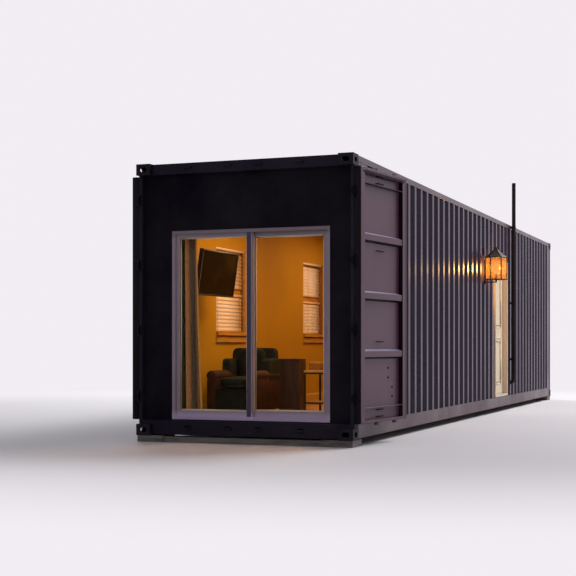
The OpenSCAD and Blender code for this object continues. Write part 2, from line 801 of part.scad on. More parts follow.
// Lever handles on both faces, on the edge nearer the door end.
module entry_door_handle() {
  handle_y = entry_leaf_y0 + 65;
  handle_z = entry_leaf_z0 + lock_rail_z + 10;
  color("silver") on_blocks() for (out = [0, 1]) translate([entry_leaf_x + out * entry_t, handle_y, handle_z])
    rotate([0, out ? 90 : -90, 0]) {
      cylinder(r = 26, h = 8);
      cylinder(r = 9, h = 48);
      translate([-9, -9, 36]) cube([18, 120, 12]);
    }
}

window_out = side_x - 1;
window_in = room_x;
window_depth = 62;
liner_t = 12;
stool_t = 39;
stool_reach = 34;
apron_t = 16;
apron_h = 93;
sash_t = 22;
sash_x = 8 - window_out;
blind_t = 14;
blind_x = window_depth + 4 - window_out;
blind_split = [window_h / 2 - 43, window_h / 2 + 30];
// Frame, sashes, jamb liner, stool and apron of one window, its low front corner at the origin.
module window_frame() {
  mid = window_h / 2;
  difference() {
    slab([-window_out, -window_in], [0, window_w], [0, window_h]);
    slab([-window_out - 1, window_depth - window_out + 1], [window_face, window_w - window_face],
      [window_face, window_h - window_face]);
    slab([window_depth - window_out, 1 - window_in], [liner_t, window_w - liner_t],
      [liner_t, window_h - liner_t]);
  }
  for (s = [0, 1]) {
    x = sash_x + s * (sash_t + 2);
    z0 = s == 0 ? mid - 18 : window_face - 1;
    z1 = s == 0 ? window_h - window_face + 1 : mid + 18;
    difference() {
      slab([x, x + sash_t], [window_face - 1, window_w - window_face + 1], [z0, z1]);
      slab([x - 1, x + sash_t + 1], [window_face + 35, window_w - window_face - 35], [z0 + 36, z1 - 36]);
    }
  }
  slab([-window_in - 1, 1 - window_in], [0, window_w], [0, liner_t]);
  slab([-window_in, stool_reach - window_in], [0, window_w], [liner_t - stool_t, liner_t]);
  slab([-window_in, apron_t - window_in], [0, window_w],
    [liner_t - stool_t - apron_h, liner_t - stool_t + 1]);
}

module window_frames() {
  color("#efe9dc") on_blocks() for (y = [window_1, window_2]) translate([0, y, window_z]) window_frame();
}

module window_glass() {
  mid = window_h / 2;
  color("#c7d3d6", 0.35) on_blocks() for (y = [window_1, window_2], s = [0, 1]) translate([0, y, window_z]) {
    x = sash_x + s * (sash_t + 2) + sash_t / 2;
    z0 = s == 0 ? mid + 18 : window_face - 1 + 36;
    z1 = s == 0 ? window_h - window_face + 1 - 36 : mid - 18;
    slab([x - 8, x + 8], [window_face + 35, window_w - window_face - 35], [z0, z1]);
  }
}

// Two slatted blinds in each window recess, one over each sash: a head box and one slab of slats each.
module window_blinds() {
  head_h = 26;
  side_gap = liner_t + 2;
  color("#f0e6d2") on_blocks() for (y = [window_1, window_2]) translate([0, y, window_z])
    for (z = [[liner_t + 8, blind_split[0]], [blind_split[1], window_h - liner_t]]) {
      slab([blind_x, blind_x + blind_t], [side_gap, window_w - side_gap], [z[0], z[1] - head_h + 1]);
      slab([blind_x - 2, blind_x + blind_t + 6], [liner_t, window_w - liner_t], [z[1] - head_h, z[1]]);
    }
}

lantern_x = skin_x + 4 + lantern_w / 2;
lantern_turn = 8.5;
lantern_post = 12;
// Places the lantern's parts on its axis, with its base at zero.
module at_lantern() {
  on_blocks() translate([lantern_x, rib_y(lantern_rib), lantern_z]) children();
}

// A six-sided plate of the cage's outline, grown by d.
module six_sides(d, h) {
  rotate(lantern_turn) cylinder(r = lantern_w / 2 + d, h = h, $fn = 6);
}

// A coach lantern: back plate, arm, cage of six posts, flared roof and candle tube.
module wall_lantern() {
  roof_steps = 4;
  top_r = 14;
  function flare(k) = (lantern_w / 2 - top_r) * pow(1 - k / roof_steps, 1.3) + top_r;
  color("#2a2622") at_lantern() {
    slab([skin_x - lantern_x, skin_x - lantern_x + 14], [-wave_crest / 2, wave_crest / 2],
      [-60, lantern_h - 40]);
    slab([skin_x - lantern_x + 13, 10], [-10, 10], [-40, -24]);
    slab([-10, 10], [-10, 10], [-40, 1]);
    six_sides(0, lantern_post);
    translate([0, 0, lantern_h - lantern_post]) difference() {
      six_sides(0, lantern_post);
      translate([0, 0, -1]) six_sides(-30, lantern_post / 2 + 1);
    }
    for (k = [0:5]) rotate(lantern_turn + 60 * k)
      translate([lantern_w / 2 - lantern_post, -lantern_post / 2, 0])
        cube([lantern_post, lantern_post, lantern_h]);
    for (k = [0:roof_steps - 1]) rotate(lantern_turn)
      translate([0, 0, lantern_h + k * lantern_roof / roof_steps - 1])
        cylinder(r1 = flare(k) + 4, r2 = flare(k + 1) + 4, h = lantern_roof / roof_steps + 1, $fn = 6);
    translate([0, 0, lantern_h + lantern_roof + 6]) sphere(r = 14, $fn = 24);
    cylinder(r = 16, h = 80);
  }
}

// The frosted globe that glows inside the cage.
module lantern_glass() {
  color("#ffd98a", 0.8) at_lantern() translate([0, 0, 80 + eps]) {
    cylinder(r = 18, h = 30);
    translate([0, 0, 24]) cylinder(r1 = 18, r2 = 42, h = 60);
    translate([0, 0, 84]) cylinder(r1 = 42, r2 = 12, h = 100);
  }
}

pipe_x = skin_x + pipe_r + 22;
// Stack pipe with an elbow into the wall, and three straps.
module vent_pipe() {
  bend = 60;
  color("#17151a") on_blocks() translate([0, rib_y(pipe_rib), 0]) {
    difference() {
      translate([pipe_x, 0, pipe_low]) cylinder(r = pipe_r, h = pipe_top - pipe_low);
      translate([pipe_x, 0, pipe_top - 200]) cylinder(r = pipe_r - 4, h = 201);
    }
    translate([pipe_x - bend + 8, 0, pipe_low]) rotate([-90, 0, 0]) rotate_extrude(angle = 90)
      translate([bend - 8, 0]) circle(r = pipe_r);
    for (z = [pipe_low + 300, (pipe_low + rail_z) / 2, rail_z + 12]) {
      translate([pipe_x, 0, z]) cylinder(r = pipe_r + 4, h = 34);
      slab([skin_x, pipe_x], [-14, 14], [z, z + 34]);
      slab([skin_x, skin_x + 5], [-36, 36], [z, z + 34]);
    }
  }
}

tv_y = 1134;
tv_z = 1783;
tv_tilt = 9;
tv_turn = -3;
tv_t = 45;
module television() {
  color("#101012") on_blocks() {
    translate([-room_x + tv_reach, tv_y, tv_z]) rotate([0, tv_tilt, tv_turn]) {
      slab([0, tv_t], [-tv_w / 2, tv_w / 2], [-tv_h / 2, tv_h / 2]);
      slab([-30, 1], [-tv_w / 4, tv_w / 4], [-tv_h / 3, tv_h / 4]);
    }
    slab([-room_x, -room_x + 12], [tv_y - 60, tv_y + 60], [tv_z - 110, tv_z + 110]);
    slab([-room_x + 11, -room_x + tv_reach - 10], [tv_y - 18, tv_y + 18], [tv_z - 30, tv_z + 30]);
  }
}

rod_z = patio_z1 + 60;
curtain_y = infill_back + 85;
rod_end = 90;
module curtain_rod() {
  color("#3b2f28") on_blocks() {
    translate([patio_x0 - rod_end, curtain_y, rod_z]) rotate([0, 90, 0])
      cylinder(r = 10, h = patio_w + 2 * rod_end);
    for (x = [patio_x0 - rod_end, patio_x1 + rod_end]) translate([x, curtain_y, rod_z]) sphere(r = 20);
    for (x = [patio_x0 - 50, patio_x1 + 50]) {
      slab([x - 8, x + 8], [infill_back, curtain_y], [rod_z - 8, rod_z + 8]);
      slab([x - 20, x + 20], [infill_back, infill_back + 6], [rod_z - 35, rod_z + 35]);
    }
  }
}

// The gathered curtain, hung just under the rod and clear of the deck.
module curtain() {
  folds = 4;
  steps = 32;
  swing = 26;
  cloth = 6;
  x0 = patio_x0 + patio_jamb - 55;
  wave = [for (i = [0:steps]) [x0 + curtain_w * i / steps, curtain_y + swing * sin(360 * folds * i / steps)]];
  color("#8a7a2a") on_blocks() translate([0, 0, floor_z + 15]) linear_extrude(rod_z - 10 - eps - floor_z - 15)
    polygon(concat(wave, [for (i = [steps:-1:0]) wave[i] + [0, cloth]]));
}

chair_x = -640;
chair_y = 1200;
arm_w = 115;
arm_z = 500;
wing_z = 636;
seat_z = 280;
back_z = 770;
back_t = 190;
// Upholstered body of the armchair: base, two arms with rounded tops, a wing at the back of each, back shell.
module armchair() {
  foot = 40;
  roll = arm_w / 2;
  wing_d = 230;
  color("#1f2c22") on_blocks() translate([chair_x, chair_y, floor_z]) {
    slab([-chair_w / 2, chair_w / 2], [20, chair_d], [foot, seat_z]);
    for (s = [-1, 1]) scale([s, 1, 1]) {
      slab([chair_w / 2 - arm_w, chair_w / 2], [0, chair_d], [foot, arm_z - roll]);
      translate([chair_w / 2 - roll, 0, arm_z - roll]) rotate([-90, 0, 0]) cylinder(r = roll, h = chair_d);
      slab([chair_w / 2 - arm_w, chair_w / 2], [chair_d - wing_d, chair_d], [arm_z - roll, wing_z]);
      for (y = [60, chair_d - 100]) slab([chair_w / 2 - 90, chair_w / 2 - 50], [y, y + 40], [0, foot + 1]);
    }
    slab([-chair_w / 2 + 20, chair_w / 2 - 20], [chair_d - back_t + 100, chair_d], [foot, back_z - 10]);
  }
}

module armchair_cushions() {
  inner = chair_w - 2 * arm_w - 8;
  color("#25352a") on_blocks() translate([chair_x, chair_y, floor_z]) {
    slab([-inner / 2, inner / 2], [10, chair_d - back_t - 10], [seat_z + eps, seat_z + 150]);
    slab([-inner / 2, inner / 2], [chair_d - back_t, chair_d - back_t + 100 - eps], [seat_z + eps, back_z]);
  }
}

table_x = 30;
table_y = 1800;
table_z = 497;
table_d = 560;
shelf_z = 108;
stand_x = -490;
stand_y = 2330;
stand_w = 320;
stand_d = 400;
stand_h = 626;
front_edge = 20;
// A metal-legged table with a low shelf, and a small closed cabinet behind the armchair.
module side_tables() {
  leg = 22;
  color("#4b3524") on_blocks() {
    translate([table_x, table_y, floor_z]) {
      slab([0, table_w], [0, table_d], [table_z - 24, table_z]);
      slab([leg - 1, table_w - leg + 1], [leg - 1, table_d - leg + 1], [shelf_z, shelf_z + 18]);
      for (x = [0, table_w - leg], y = [0, table_d - leg])
        slab([x, x + leg], [y, y + leg], [0, table_z - 23]);
      for (y = [0, table_d - leg]) slab([0, table_w], [y, y + leg], [shelf_z - 4, shelf_z + 18]);
    }
    translate([stand_x, stand_y, floor_z]) {
      slab([0, stand_w], [0, stand_d], [0, stand_h]);
      slab([front_edge, stand_w - front_edge], [-8, 1], [3 * front_edge, stand_h / 2 + front_edge]);
      slab([front_edge, stand_w - front_edge], [-8, 1], [stand_h / 2 + 2 * front_edge, stand_h - front_edge]);
    }
  }
}

support_blocks();
corner_castings();
corner_posts();
hinge_lugs();
door_header();
door_sill();
rear_frame();
bottom_rails();
top_rails();
cross_members();
floor_deck();
roof_panel();
ceiling();
left_wall();
right_wall();
right_wall_over_door();
end_wall();
left_lining();
right_lining();
right_lining_over_door();
end_lining();
infill_sides();
infill_over_door();
patio_frame();
patio_fixed_panel();
patio_fixed_glass();
patio_sliding_panel();
patio_sliding_glass();
cargo_door_left();
cargo_door_right();
locking_gear_left();
locking_gear_right();
entry_door_frame();
entry_door_leaf();
entry_door_handle();
window_frames();
window_glass();
window_blinds();
wall_lantern();
lantern_glass();
vent_pipe();
television();
curtain_rod();
curtain();
armchair();
armchair_cushions();
side_tables();
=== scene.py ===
import json
import math

import bmesh
import bpy
import numpy as np
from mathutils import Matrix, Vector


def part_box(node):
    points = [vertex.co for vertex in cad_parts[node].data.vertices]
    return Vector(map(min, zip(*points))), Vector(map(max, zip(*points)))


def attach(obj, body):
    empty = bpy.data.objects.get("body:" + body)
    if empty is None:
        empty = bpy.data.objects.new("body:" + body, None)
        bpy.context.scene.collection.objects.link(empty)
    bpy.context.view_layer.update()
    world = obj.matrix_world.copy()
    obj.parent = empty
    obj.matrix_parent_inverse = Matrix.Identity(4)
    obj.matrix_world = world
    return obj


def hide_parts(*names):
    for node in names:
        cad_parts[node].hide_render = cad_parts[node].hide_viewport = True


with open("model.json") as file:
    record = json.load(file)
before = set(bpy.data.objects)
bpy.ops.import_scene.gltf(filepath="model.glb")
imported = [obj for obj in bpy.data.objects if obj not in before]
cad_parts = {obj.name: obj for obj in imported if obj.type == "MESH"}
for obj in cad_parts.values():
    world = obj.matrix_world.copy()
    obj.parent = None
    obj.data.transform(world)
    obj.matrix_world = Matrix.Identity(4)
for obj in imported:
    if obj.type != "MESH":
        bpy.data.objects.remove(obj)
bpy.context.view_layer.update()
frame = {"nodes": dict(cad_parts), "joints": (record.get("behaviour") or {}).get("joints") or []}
nodes = frame["nodes"]
scene = bpy.context.scene
scene.view_settings.view_transform = "Standard"

# The viewpoint: low, in front of the door end and well off to the right, with a level lens that is
# shifted up, so that every post and rib stands upright in the picture.
picture_px, focal_px, shift_px = 576, 1263.6, 57.7
lens = bpy.data.cameras.new("camera")
lens.sensor_width = 36.0
lens.lens = focal_px / picture_px * lens.sensor_width
lens.shift_y = shift_px / picture_px
lens.clip_end = 600
camera = bpy.data.objects.new("camera", lens)
camera.location = (5.118, -18.155, 1.026)
camera.rotation_euler = (math.radians(90), 0, math.radians(20.87))
scene.collection.objects.link(camera)
scene.camera = camera


# The studio: a pale matt floor that melts into a pale surround, a wide soft lamp behind the right
# side that rakes across the ribs, and weaker ones in front, behind and inside the lit room.
def new_piece(name, points, faces, smooth=True):
    """An object at the origin with a mesh of the given points and faces."""
    mesh = bpy.data.meshes.new(name)
    mesh.from_pydata(points, [], faces)
    mesh.polygons.foreach_set("use_smooth", np.full(len(mesh.polygons), smooth))
    mesh.update()
    piece = bpy.data.objects.new(name, mesh)
    scene.collection.objects.link(piece)
    return piece


def surface(name, grid, close_u=False, close_v=False, smooth=True):
    """Quads over a grid of points of shape (u, v, 3); a closed direction joins its last row to its first."""
    nu, nv = grid.shape[:2]
    i, j = np.meshgrid(np.arange(nu if close_u else nu - 1), np.arange(nv if close_v else nv - 1), indexing="ij")
    k, l = (i + 1) % nu, (j + 1) % nv
    quads = np.stack([i * nv + j, k * nv + j, k * nv + l, i * nv + l], -1).reshape(-1, 4)
    return new_piece(name, grid.reshape(-1, 3), quads.tolist(), smooth)


def node(tree, kind, links=(), **values):
    """One node with its properties and plain inputs set, and its inputs linked."""
    made = tree.nodes.new(kind)
    for key, value in values.items():
        if hasattr(made, key):
            setattr(made, key, value)
        else:
            made.inputs[key.replace("_", " ").title()].default_value = value
    for target, source in dict(links).items():
        tree.links.new(source, made.inputs[target])
    return made


def plug(tree, value, socket):
    """Links a value to a socket, or sets it there where it is a plain number or colour."""
    if isinstance(value, bpy.types.NodeSocket):
        tree.links.new(value, socket)
    else:
        socket.default_value = (*value, 1) if socket.type == "RGBA" and len(value) == 3 else value


def math_node(tree, operation, first, second=0.0):
    """The result of one operation on two values, each linked or plain."""
    made = node(tree, "ShaderNodeMath", operation=operation)
    plug(tree, first, made.inputs[0])
    plug(tree, second, made.inputs[1])
    return made.outputs[0]


def seen_directly(tree):
    """One for rays from the camera, from a mirror-like surface or through glass, and zero for light."""
    path = tree.nodes.new("ShaderNodeLightPath").outputs
    mirrored = math_node(tree, "MAXIMUM", path["Is Camera Ray"], path["Is Glossy Ray"])
    return math_node(tree, "MAXIMUM", mirrored, path["Is Transmission Ray"])


def new_material(name):
    """A material, its node tree and its shader's inputs."""
    material = bpy.data.materials.new(name)
    material.use_nodes = True
    return material, material.node_tree, material.node_tree.nodes["Principled BSDF"].inputs


surround = (0.89, 0.85, 0.90, 1)
matt, tree, shader = new_material("studio floor")
shader["Base Color"].default_value = (0.66, 0.65, 0.66, 1)
shader["Roughness"].default_value = 0.9
place = tree.nodes.new("ShaderNodeTexCoord")
away = node(tree, "ShaderNodeVectorMath", {0: place.outputs["Object"]}, operation="LENGTH")
fade = node(tree, "ShaderNodeMapRange", {"Value": away.outputs["Value"]}, interpolation_type="SMOOTHSTEP",
            From_Min=7.0, From_Max=12.5)
glow = node(tree, "ShaderNodeEmission", Color=surround)
melt = node(tree, "ShaderNodeMixShader", {0: math_node(tree, "MULTIPLY", fade.outputs[0], seen_directly(tree)),
            1: tree.nodes["Principled BSDF"].outputs[0], 2: glow.outputs[0]})
tree.links.new(melt.outputs[0], tree.nodes["Material Output"].inputs["Surface"])
reach = np.linspace(-150, 150, 5)
level = np.stack(np.broadcast_arrays(reach[:, None], reach[None, :], 0.0), -1)
floor = surface("studio_floor", level, smooth=False)
floor.data.materials.append(matt)

world = bpy.data.worlds.new("studio")
scene.world = world
world.use_nodes = True
tree = world.node_tree
tree.nodes.clear()
seen = node(tree, "ShaderNodeBackground", Color=surround)
lighting = node(tree, "ShaderNodeBackground", Color=(0.84, 0.82, 0.94, 1), Strength=0.30)
mix = node(tree, "ShaderNodeMixShader", {0: seen_directly(tree), 1: lighting.outputs[0], 2: seen.outputs[0]})
node(tree, "ShaderNodeOutputWorld", {"Surface": mix.outputs[0]})


def soft_lamp(name, place, aim, size, power, colour=(1, 1, 1)):
    """A rectangular lamp at place, turned to shine at aim."""
    light = bpy.data.lights.new(name, "AREA")
    light.shape = "RECTANGLE"
    light.size, light.size_y = size
    light.energy, light.color = power, colour
    lamp = bpy.data.objects.new(name, light)
    lamp.location = place
    back = np.array(place, float) - np.array(aim, float)
    lamp.rotation_euler = (math.atan2(math.hypot(back[0], back[1]), back[2]), 0, math.atan2(back[0], -back[1]))
    lamp.visible_camera = False
    scene.collection.objects.link(lamp)


room_glow = (1.0, 0.55, 0.24)
soft_lamp("side_softbox", (10, 10, 17), (1, 0, 1.2), (12, 10), 4600, (1.0, 0.97, 0.99))
soft_lamp("front_softbox", (-4, -19, 8), (0, -6, 1.2), (9, 6), 60)
soft_lamp("back_softbox", (-12, 13, 9), (0, 2, 1.4), (10, 7), 1500)
soft_lamp("room_light_front", (0.15, -4.3, 2.66), (0.15, -4.3, 0), (1.2, 1.6), 50, room_glow)
soft_lamp("room_light_middle", (0.1, -1.2, 2.66), (0.1, -1.2, 0), (1.2, 1.6), 31, room_glow)
soft_lamp("room_light_back", (0, 2.9, 2.66), (0, 2.9, 0), (1.2, 1.6), 38, room_glow)


# Support blocks: a squat block of weathered timber under each corner and a sleeper laid across
# between the front pair, sawn square and greyed by the weather.
def group(name, outputs=("Colour", "Roughness", "Height"), **inputs):
    """A node group on a place vector, with more inputs by name and default: a number, a colour, or None for
    another vector. Gives the tree, its inputs, and a function that links its outputs and gives the tree."""
    tree = bpy.data.node_groups.new(name, "ShaderNodeTree")
    for label, default in {"Vector": None, **inputs}.items():
        kind = "Vector" if default is None else "Float" if isinstance(default, float) else "Color"
        socket = tree.interface.new_socket(label, in_out="INPUT", socket_type=f"NodeSocket{kind}")
        if default is not None:
            socket.default_value = default if kind == "Float" else (*default, 1)
    for label in outputs:
        kind = "NodeSocketColor" if label == "Colour" else "NodeSocketFloat"
        tree.interface.new_socket(label, in_out="OUTPUT", socket_type=kind)
    ins, outs = tree.nodes.new("NodeGroupInput").outputs, tree.nodes.new("NodeGroupOutput").inputs

    def give(**results):
        """Links each result to the output of its name."""
        for label, value in results.items():
            tree.links.new(value, outs[label])
        return tree

    return tree, ins, give


def blend_colour(tree, amount, first, second):
    """A mix of two colours, with the amount and each colour linked or plain."""
    made = node(tree, "ShaderNodeMix", data_type="RGBA")
    for index, value in ((0, amount), (6, first), (7, second)):
        plug(tree, value, made.inputs[index])
    return made.outputs[2]


def noise(tree, place, scale, detail, roughness=0.5, distortion=0.0):
    """The value of a noise texture, whose scale is linked or plain."""
    made = node(tree, "ShaderNodeTexNoise", {"Vector": place}, detail=detail, roughness=roughness,
                distortion=distortion)
    plug(tree, scale, made.inputs["Scale"])
    return made.outputs["Fac"]


def parts_of(tree, vector):
    """The X, Y and Z of a vector."""
    return node(tree, "ShaderNodeSeparateXYZ", {"Vector": vector}).outputs


def stretched(tree, place, scale=(1, 1, 1), turn=(0, 0, 0)):
    """A place vector, scaled and turned."""
    made = node(tree, "ShaderNodeMapping", {"Vector": place})
    made.inputs["Scale"].default_value = scale
    made.inputs["Rotation"].default_value = turn
    return made.outputs[0]


def spread(tree, value, low, high, to_low=0.0, to_high=1.0):
    """Stretches a value from the range low to high onto another range, clamped."""
    made = tree.nodes.new("ShaderNodeMapRange")
    for index, number in enumerate((value, low, high, to_low, to_high)):
        plug(tree, number, made.inputs[index])
    return made.outputs[0]


def timber_grain():
    """Streaks of broad noise with finer pores over them, which the material's scale squeezes across the board."""
    tree, ins, give = group("timber grain", Light=(0.4, 0.25, 0.13), Dark=(0.2, 0.1, 0.05), Wear=0.3)
    streak = spread(tree, noise(tree, ins["Vector"], 1.0, 6.0, 0.62, 0.6), 0.36, 0.64)
    pores = spread(tree, noise(tree, ins["Vector"], 6.0, 3.0, 0.7), 0.35, 0.7)
    tone = math_node(tree, "ADD", math_node(tree, "MULTIPLY", streak, 0.7), math_node(tree, "MULTIPLY", pores, 0.3))
    dull = math_node(tree, "MULTIPLY", ins["Wear"], streak)
    colour = blend_colour(tree, tone, ins["Dark"], ins["Light"])
    return give(Colour=blend_colour(tree, dull, colour, (0.16, 0.15, 0.14)),
                Roughness=spread(tree, tone, 0, 1, 0.75, 0.5), Height=tone)


grain = timber_grain()


def finish(name, pattern, scale=(1, 1, 1), values=(), bump=0.2, depth=0.001, uv=None, **shading):
    """A material whose colour, roughness and relief, and glint where it is given, come from one of the pattern
    groups, on Object coordinates that are scaled, or on the piece's own UV map. Shading sets plain values."""
    material, tree, shader = new_material(name)
    where = tree.nodes.new("ShaderNodeTexCoord").outputs["Object"]
    effect = tree.nodes.new("ShaderNodeGroup")
    effect.node_tree = pattern
    flat = node(tree, "ShaderNodeUVMap", uv_map=uv).outputs["UV"] if uv else where
    tree.links.new(stretched(tree, flat, scale), effect.inputs["Vector"])
    if "Place" in effect.inputs:
        tree.links.new(where, effect.inputs["Place"])
    for key, value in dict(values).items():
        plug(tree, value, effect.inputs[key])
    tree.links.new(effect.outputs["Colour"], shader["Base Color"])
    tree.links.new(effect.outputs["Roughness"], shader["Roughness"])
    if "Glint" in effect.outputs:
        tree.links.new(effect.outputs["Glint"], shader["Specular IOR Level"])
    relief = node(tree, "ShaderNodeBump", {"Height": effect.outputs["Height"]}, strength=bump, distance=depth)
    tree.links.new(relief.outputs[0], shader["Normal"])
    for key, value in shading.items():
        shader[key.replace("_", " ")].default_value = value
    return material


def wear(node_names, material):
    """Gives CAD nodes that keep their shape their real finish."""
    for name in node_names:
        nodes[name].data.materials.clear()
        nodes[name].data.materials.append(material)


wear(["support_blocks"], finish("weathered timber", grain, (3, 26, 26), {
    "Light": (0.17, 0.14, 0.11), "Dark": (0.06, 0.05, 0.045), "Wear": 0.5}, 0.5, 0.004))


# Frame of the container: cast corners, pressed posts, header, sill and rails, welded together and
# sprayed in one satin charcoal coat that years of rain and dust have dulled.
pin = next(joint for joint in frame["joints"] if joint["name"] == "cargo_right_hinge")["pos_m"]


def sprayed_paint():
    """Paint on steel: slow drifts of tone, faint rain runs, dust that thins out above the base, and orange peel;
    with painted light: a lavender sky reflection on upward faces, painted shade of deeper colour and less glint
    on the faces to -Y and downwards, and near-black painted shade with less glint round the hinge pin."""
    tree, ins, give = group(
        "sprayed paint", ("Colour", "Roughness", "Height", "Glint"), Place=None, Paint=(0.04, 0.036, 0.044),
        Dust=(0.16, 0.13, 0.11), Dustiness=0.25, Runs=0.3, Gloss=0.42, Grease=0.0, Shelter=0.0,
        Sheltered=(0.006, 0.004, 0.009), Settled=0.0, Glint=0.5, Peel=220.0)
    drift = noise(tree, ins["Vector"], 1.3, 5.0, 0.6)
    patch = spread(tree, drift, 0.35, 0.7)
    place = parts_of(tree, ins["Place"])
    low = math_node(tree, "MULTIPLY", spread(tree, place["Z"], 0.05, 0.75, 1.0, 0.12), ins["Dustiness"])
    runs = spread(tree, noise(tree, stretched(tree, ins["Vector"], (22, 22, 0.7)), 1.0, 4.0, 0.55), 0.5, 0.75)
    runs = math_node(tree, "MULTIPLY", math_node(tree, "MULTIPLY", runs, ins["Runs"]), 0.12)
    dust = math_node(tree, "ADD", math_node(tree, "MULTIPLY", low, math_node(tree, "ADD", patch, 0.35)), runs)
    chalky = blend_colour(tree, 0.5, ins["Paint"], (0.12, 0.11, 0.13))
    tone = blend_colour(tree, spread(tree, drift, 0.3, 0.75, 0.0, 0.28), ins["Paint"], chalky)
    # Painted shade: within a few centimetres of the hinge pin the paint turns near-black and loses glint, where the
    # leaf shadows the post.
    from_pin = node(tree, "ShaderNodeCombineXYZ", {
        "X": math_node(tree, "SUBTRACT", math_node(tree, "ABSOLUTE", place["X"]), pin[0]),
        "Y": math_node(tree, "SUBTRACT", place["Y"], pin[1])})
    gap = node(tree, "ShaderNodeVectorMath", {0: from_pin.outputs[0]}, operation="LENGTH").outputs["Value"]
    pin_shade = math_node(tree, "MULTIPLY", spread(tree, gap, 0.034, 0.044, 1.0, 0.0), ins["Grease"])
    looks = parts_of(tree, tree.nodes.new("ShaderNodeTexCoord").outputs["Normal"])
    # Painted shade: faces that look to -Y or downwards take a deeper colour and less glint.
    shaded_faces = math_node(tree, "MAXIMUM", spread(tree, looks["Y"], -0.25, -0.6), spread(tree, looks["Z"], -0.3, -0.7))
    shaded_faces = math_node(tree, "MULTIPLY", shaded_faces, ins["Shelter"])
    tone = blend_colour(tree, shaded_faces, tone, ins["Sheltered"])
    # Painted sky reflection: faces that look up are tinted pale lavender.
    sky_sheen = math_node(tree, "MULTIPLY", spread(tree, looks["Z"], 0.3, 0.7), ins["Settled"])
    tone = blend_colour(tree, dust, blend_colour(tree, sky_sheen, tone, (0.21, 0.19, 0.36)), ins["Dust"])
    rough = math_node(tree, "ADD", ins["Gloss"], math_node(tree, "MULTIPLY", patch, 0.12))
    keen = spread(tree, math_node(tree, "MAXIMUM", pin_shade, shaded_faces), 0, 1, 1.0, 0.15)
    return give(Colour=blend_colour(tree, pin_shade, tone, (0.005, 0.004, 0.006)),
                Roughness=math_node(tree, "ADD", rough, math_node(tree, "MULTIPLY", dust, 0.9)),
                Height=noise(tree, ins["Vector"], ins["Peel"], 2.0),
                Glint=math_node(tree, "MULTIPLY", keen, ins["Glint"]))


paint = sprayed_paint()
wear(["corner_castings"], finish("cast corner paint", paint, values={
    "Paint": (0.010, 0.0075, 0.014), "Dustiness": 0.1, "Gloss": 0.34, "Glint": 0.05, "Peel": 90.0}))
wear(["corner_posts", "door_header", "door_sill", "rear_frame", "hinge_lugs"], finish(
    "frame paint", paint, values={"Paint": (0.0115, 0.0085, 0.0190), "Dustiness": 0.03, "Glint": 0.05},
    bump=0.12))
wear(["bottom_rails", "top_rails"], finish("rail paint", paint, values={
    "Paint": (0.060, 0.026, 0.038), "Dustiness": 0.12, "Runs": 0.2, "Gloss": 0.28, "Glint": 0.3}, bump=0.1))
wear(["cross_members"], finish("underframe coating", paint, values={
    "Paint": (0.017, 0.016, 0.017), "Dustiness": 0.6, "Gloss": 0.62, "Peel": 60.0}, bump=0.3, depth=0.002))


# Pressed sheets: side walls, closed end and roof, two-millimetre steel folded into bevelled
# flats, each closed against the rails with one long hand-laid weld.
def carried(name, path, profile, across, upward, close_profile=True, swell=0.0):
    """A profile (p, q) carried along a path: each point is path + p * across + q * upward, and the profile
    swells a little in a slow rhythm along the path where a weld does."""
    steps = np.arange(len(path))
    size = 1 + swell * np.sin(steps * 1.9) * np.sin(steps * 0.37 + 1)
    grid = (path[:, None, :] + size[:, None, None] * (profile[None, :, :1] * np.array(across, float)
            + profile[None, :, 1:] * np.array(upward, float)))
    return surface(name, grid, close_v=close_profile)


def round_profile(radius, count=8, start=0.0, turn=2 * math.pi):
    """Points (p, q) on a circle, or on the part of it that turn covers."""
    whole = turn > 6.28
    angle = start + turn * np.arange(count) / (count if whole else count - 1)
    return radius * np.stack([np.cos(angle), np.sin(angle)], -1)


def tidy(piece, merge=1e-5):
    """Merges doubled points, closes open ends and poles, and turns the faces outwards."""
    shape = bmesh.new()
    shape.from_mesh(piece.data)
    bmesh.ops.remove_doubles(shape, verts=shape.verts, dist=merge)
    bmesh.ops.holes_fill(shape, edges=[e for e in shape.edges if e.is_boundary], sides=64)
    bmesh.ops.recalc_face_normals(shape, faces=shape.faces)
    shape.to_mesh(piece.data)
    shape.free()
    return piece


def points_of(mesh):
    """A mesh's points as an array of shape (count, 3)."""
    points = np.empty(len(mesh.vertices) * 3)
    mesh.vertices.foreach_get("co", points)
    return points.reshape(-1, 3)


def joined(name, pieces, smooth=True):
    """One closed mesh out of several."""
    verts, faces, start = [], [], 0
    for piece in pieces:
        verts.append(points_of(piece.data))
        faces += [[start + i for i in p.vertices] for p in piece.data.polygons]
        start += len(verts[-1])
        bpy.data.objects.remove(piece)
    whole = tidy(new_piece(name, np.concatenate(verts), faces, smooth))
    whole.data.polygons.foreach_set("use_smooth", np.full(len(whole.data.polygons), smooth))
    return whole


def fit(piece, material, body="container"):
    """Gives a new piece its finish and the body that it moves with."""
    piece.data.materials.clear()
    piece.data.materials.append(material)
    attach(piece, body)
    return piece


# The side walls get navy painted shade on their faces to -Y and downwards.
sheet_paint = finish("pressed sheet paint", paint, values={
    "Paint": (0.034, 0.018, 0.039), "Dustiness": 0.06, "Runs": 0.2, "Gloss": 0.23, "Shelter": 0.85,
    "Sheltered": (0.012, 0.006, 0.026), "Glint": 0.22}, bump=0.04)
wear(["left_wall", "right_wall", "right_wall_over_door", "end_wall"], sheet_paint)
wear(["roof_panel"], finish("roof paint", paint, values={
    "Paint": (0.06, 0.056, 0.062), "Dust": (0.24, 0.21, 0.18), "Dustiness": 2.4, "Runs": 0.0, "Gloss": 0.5},
    bump=0.15))

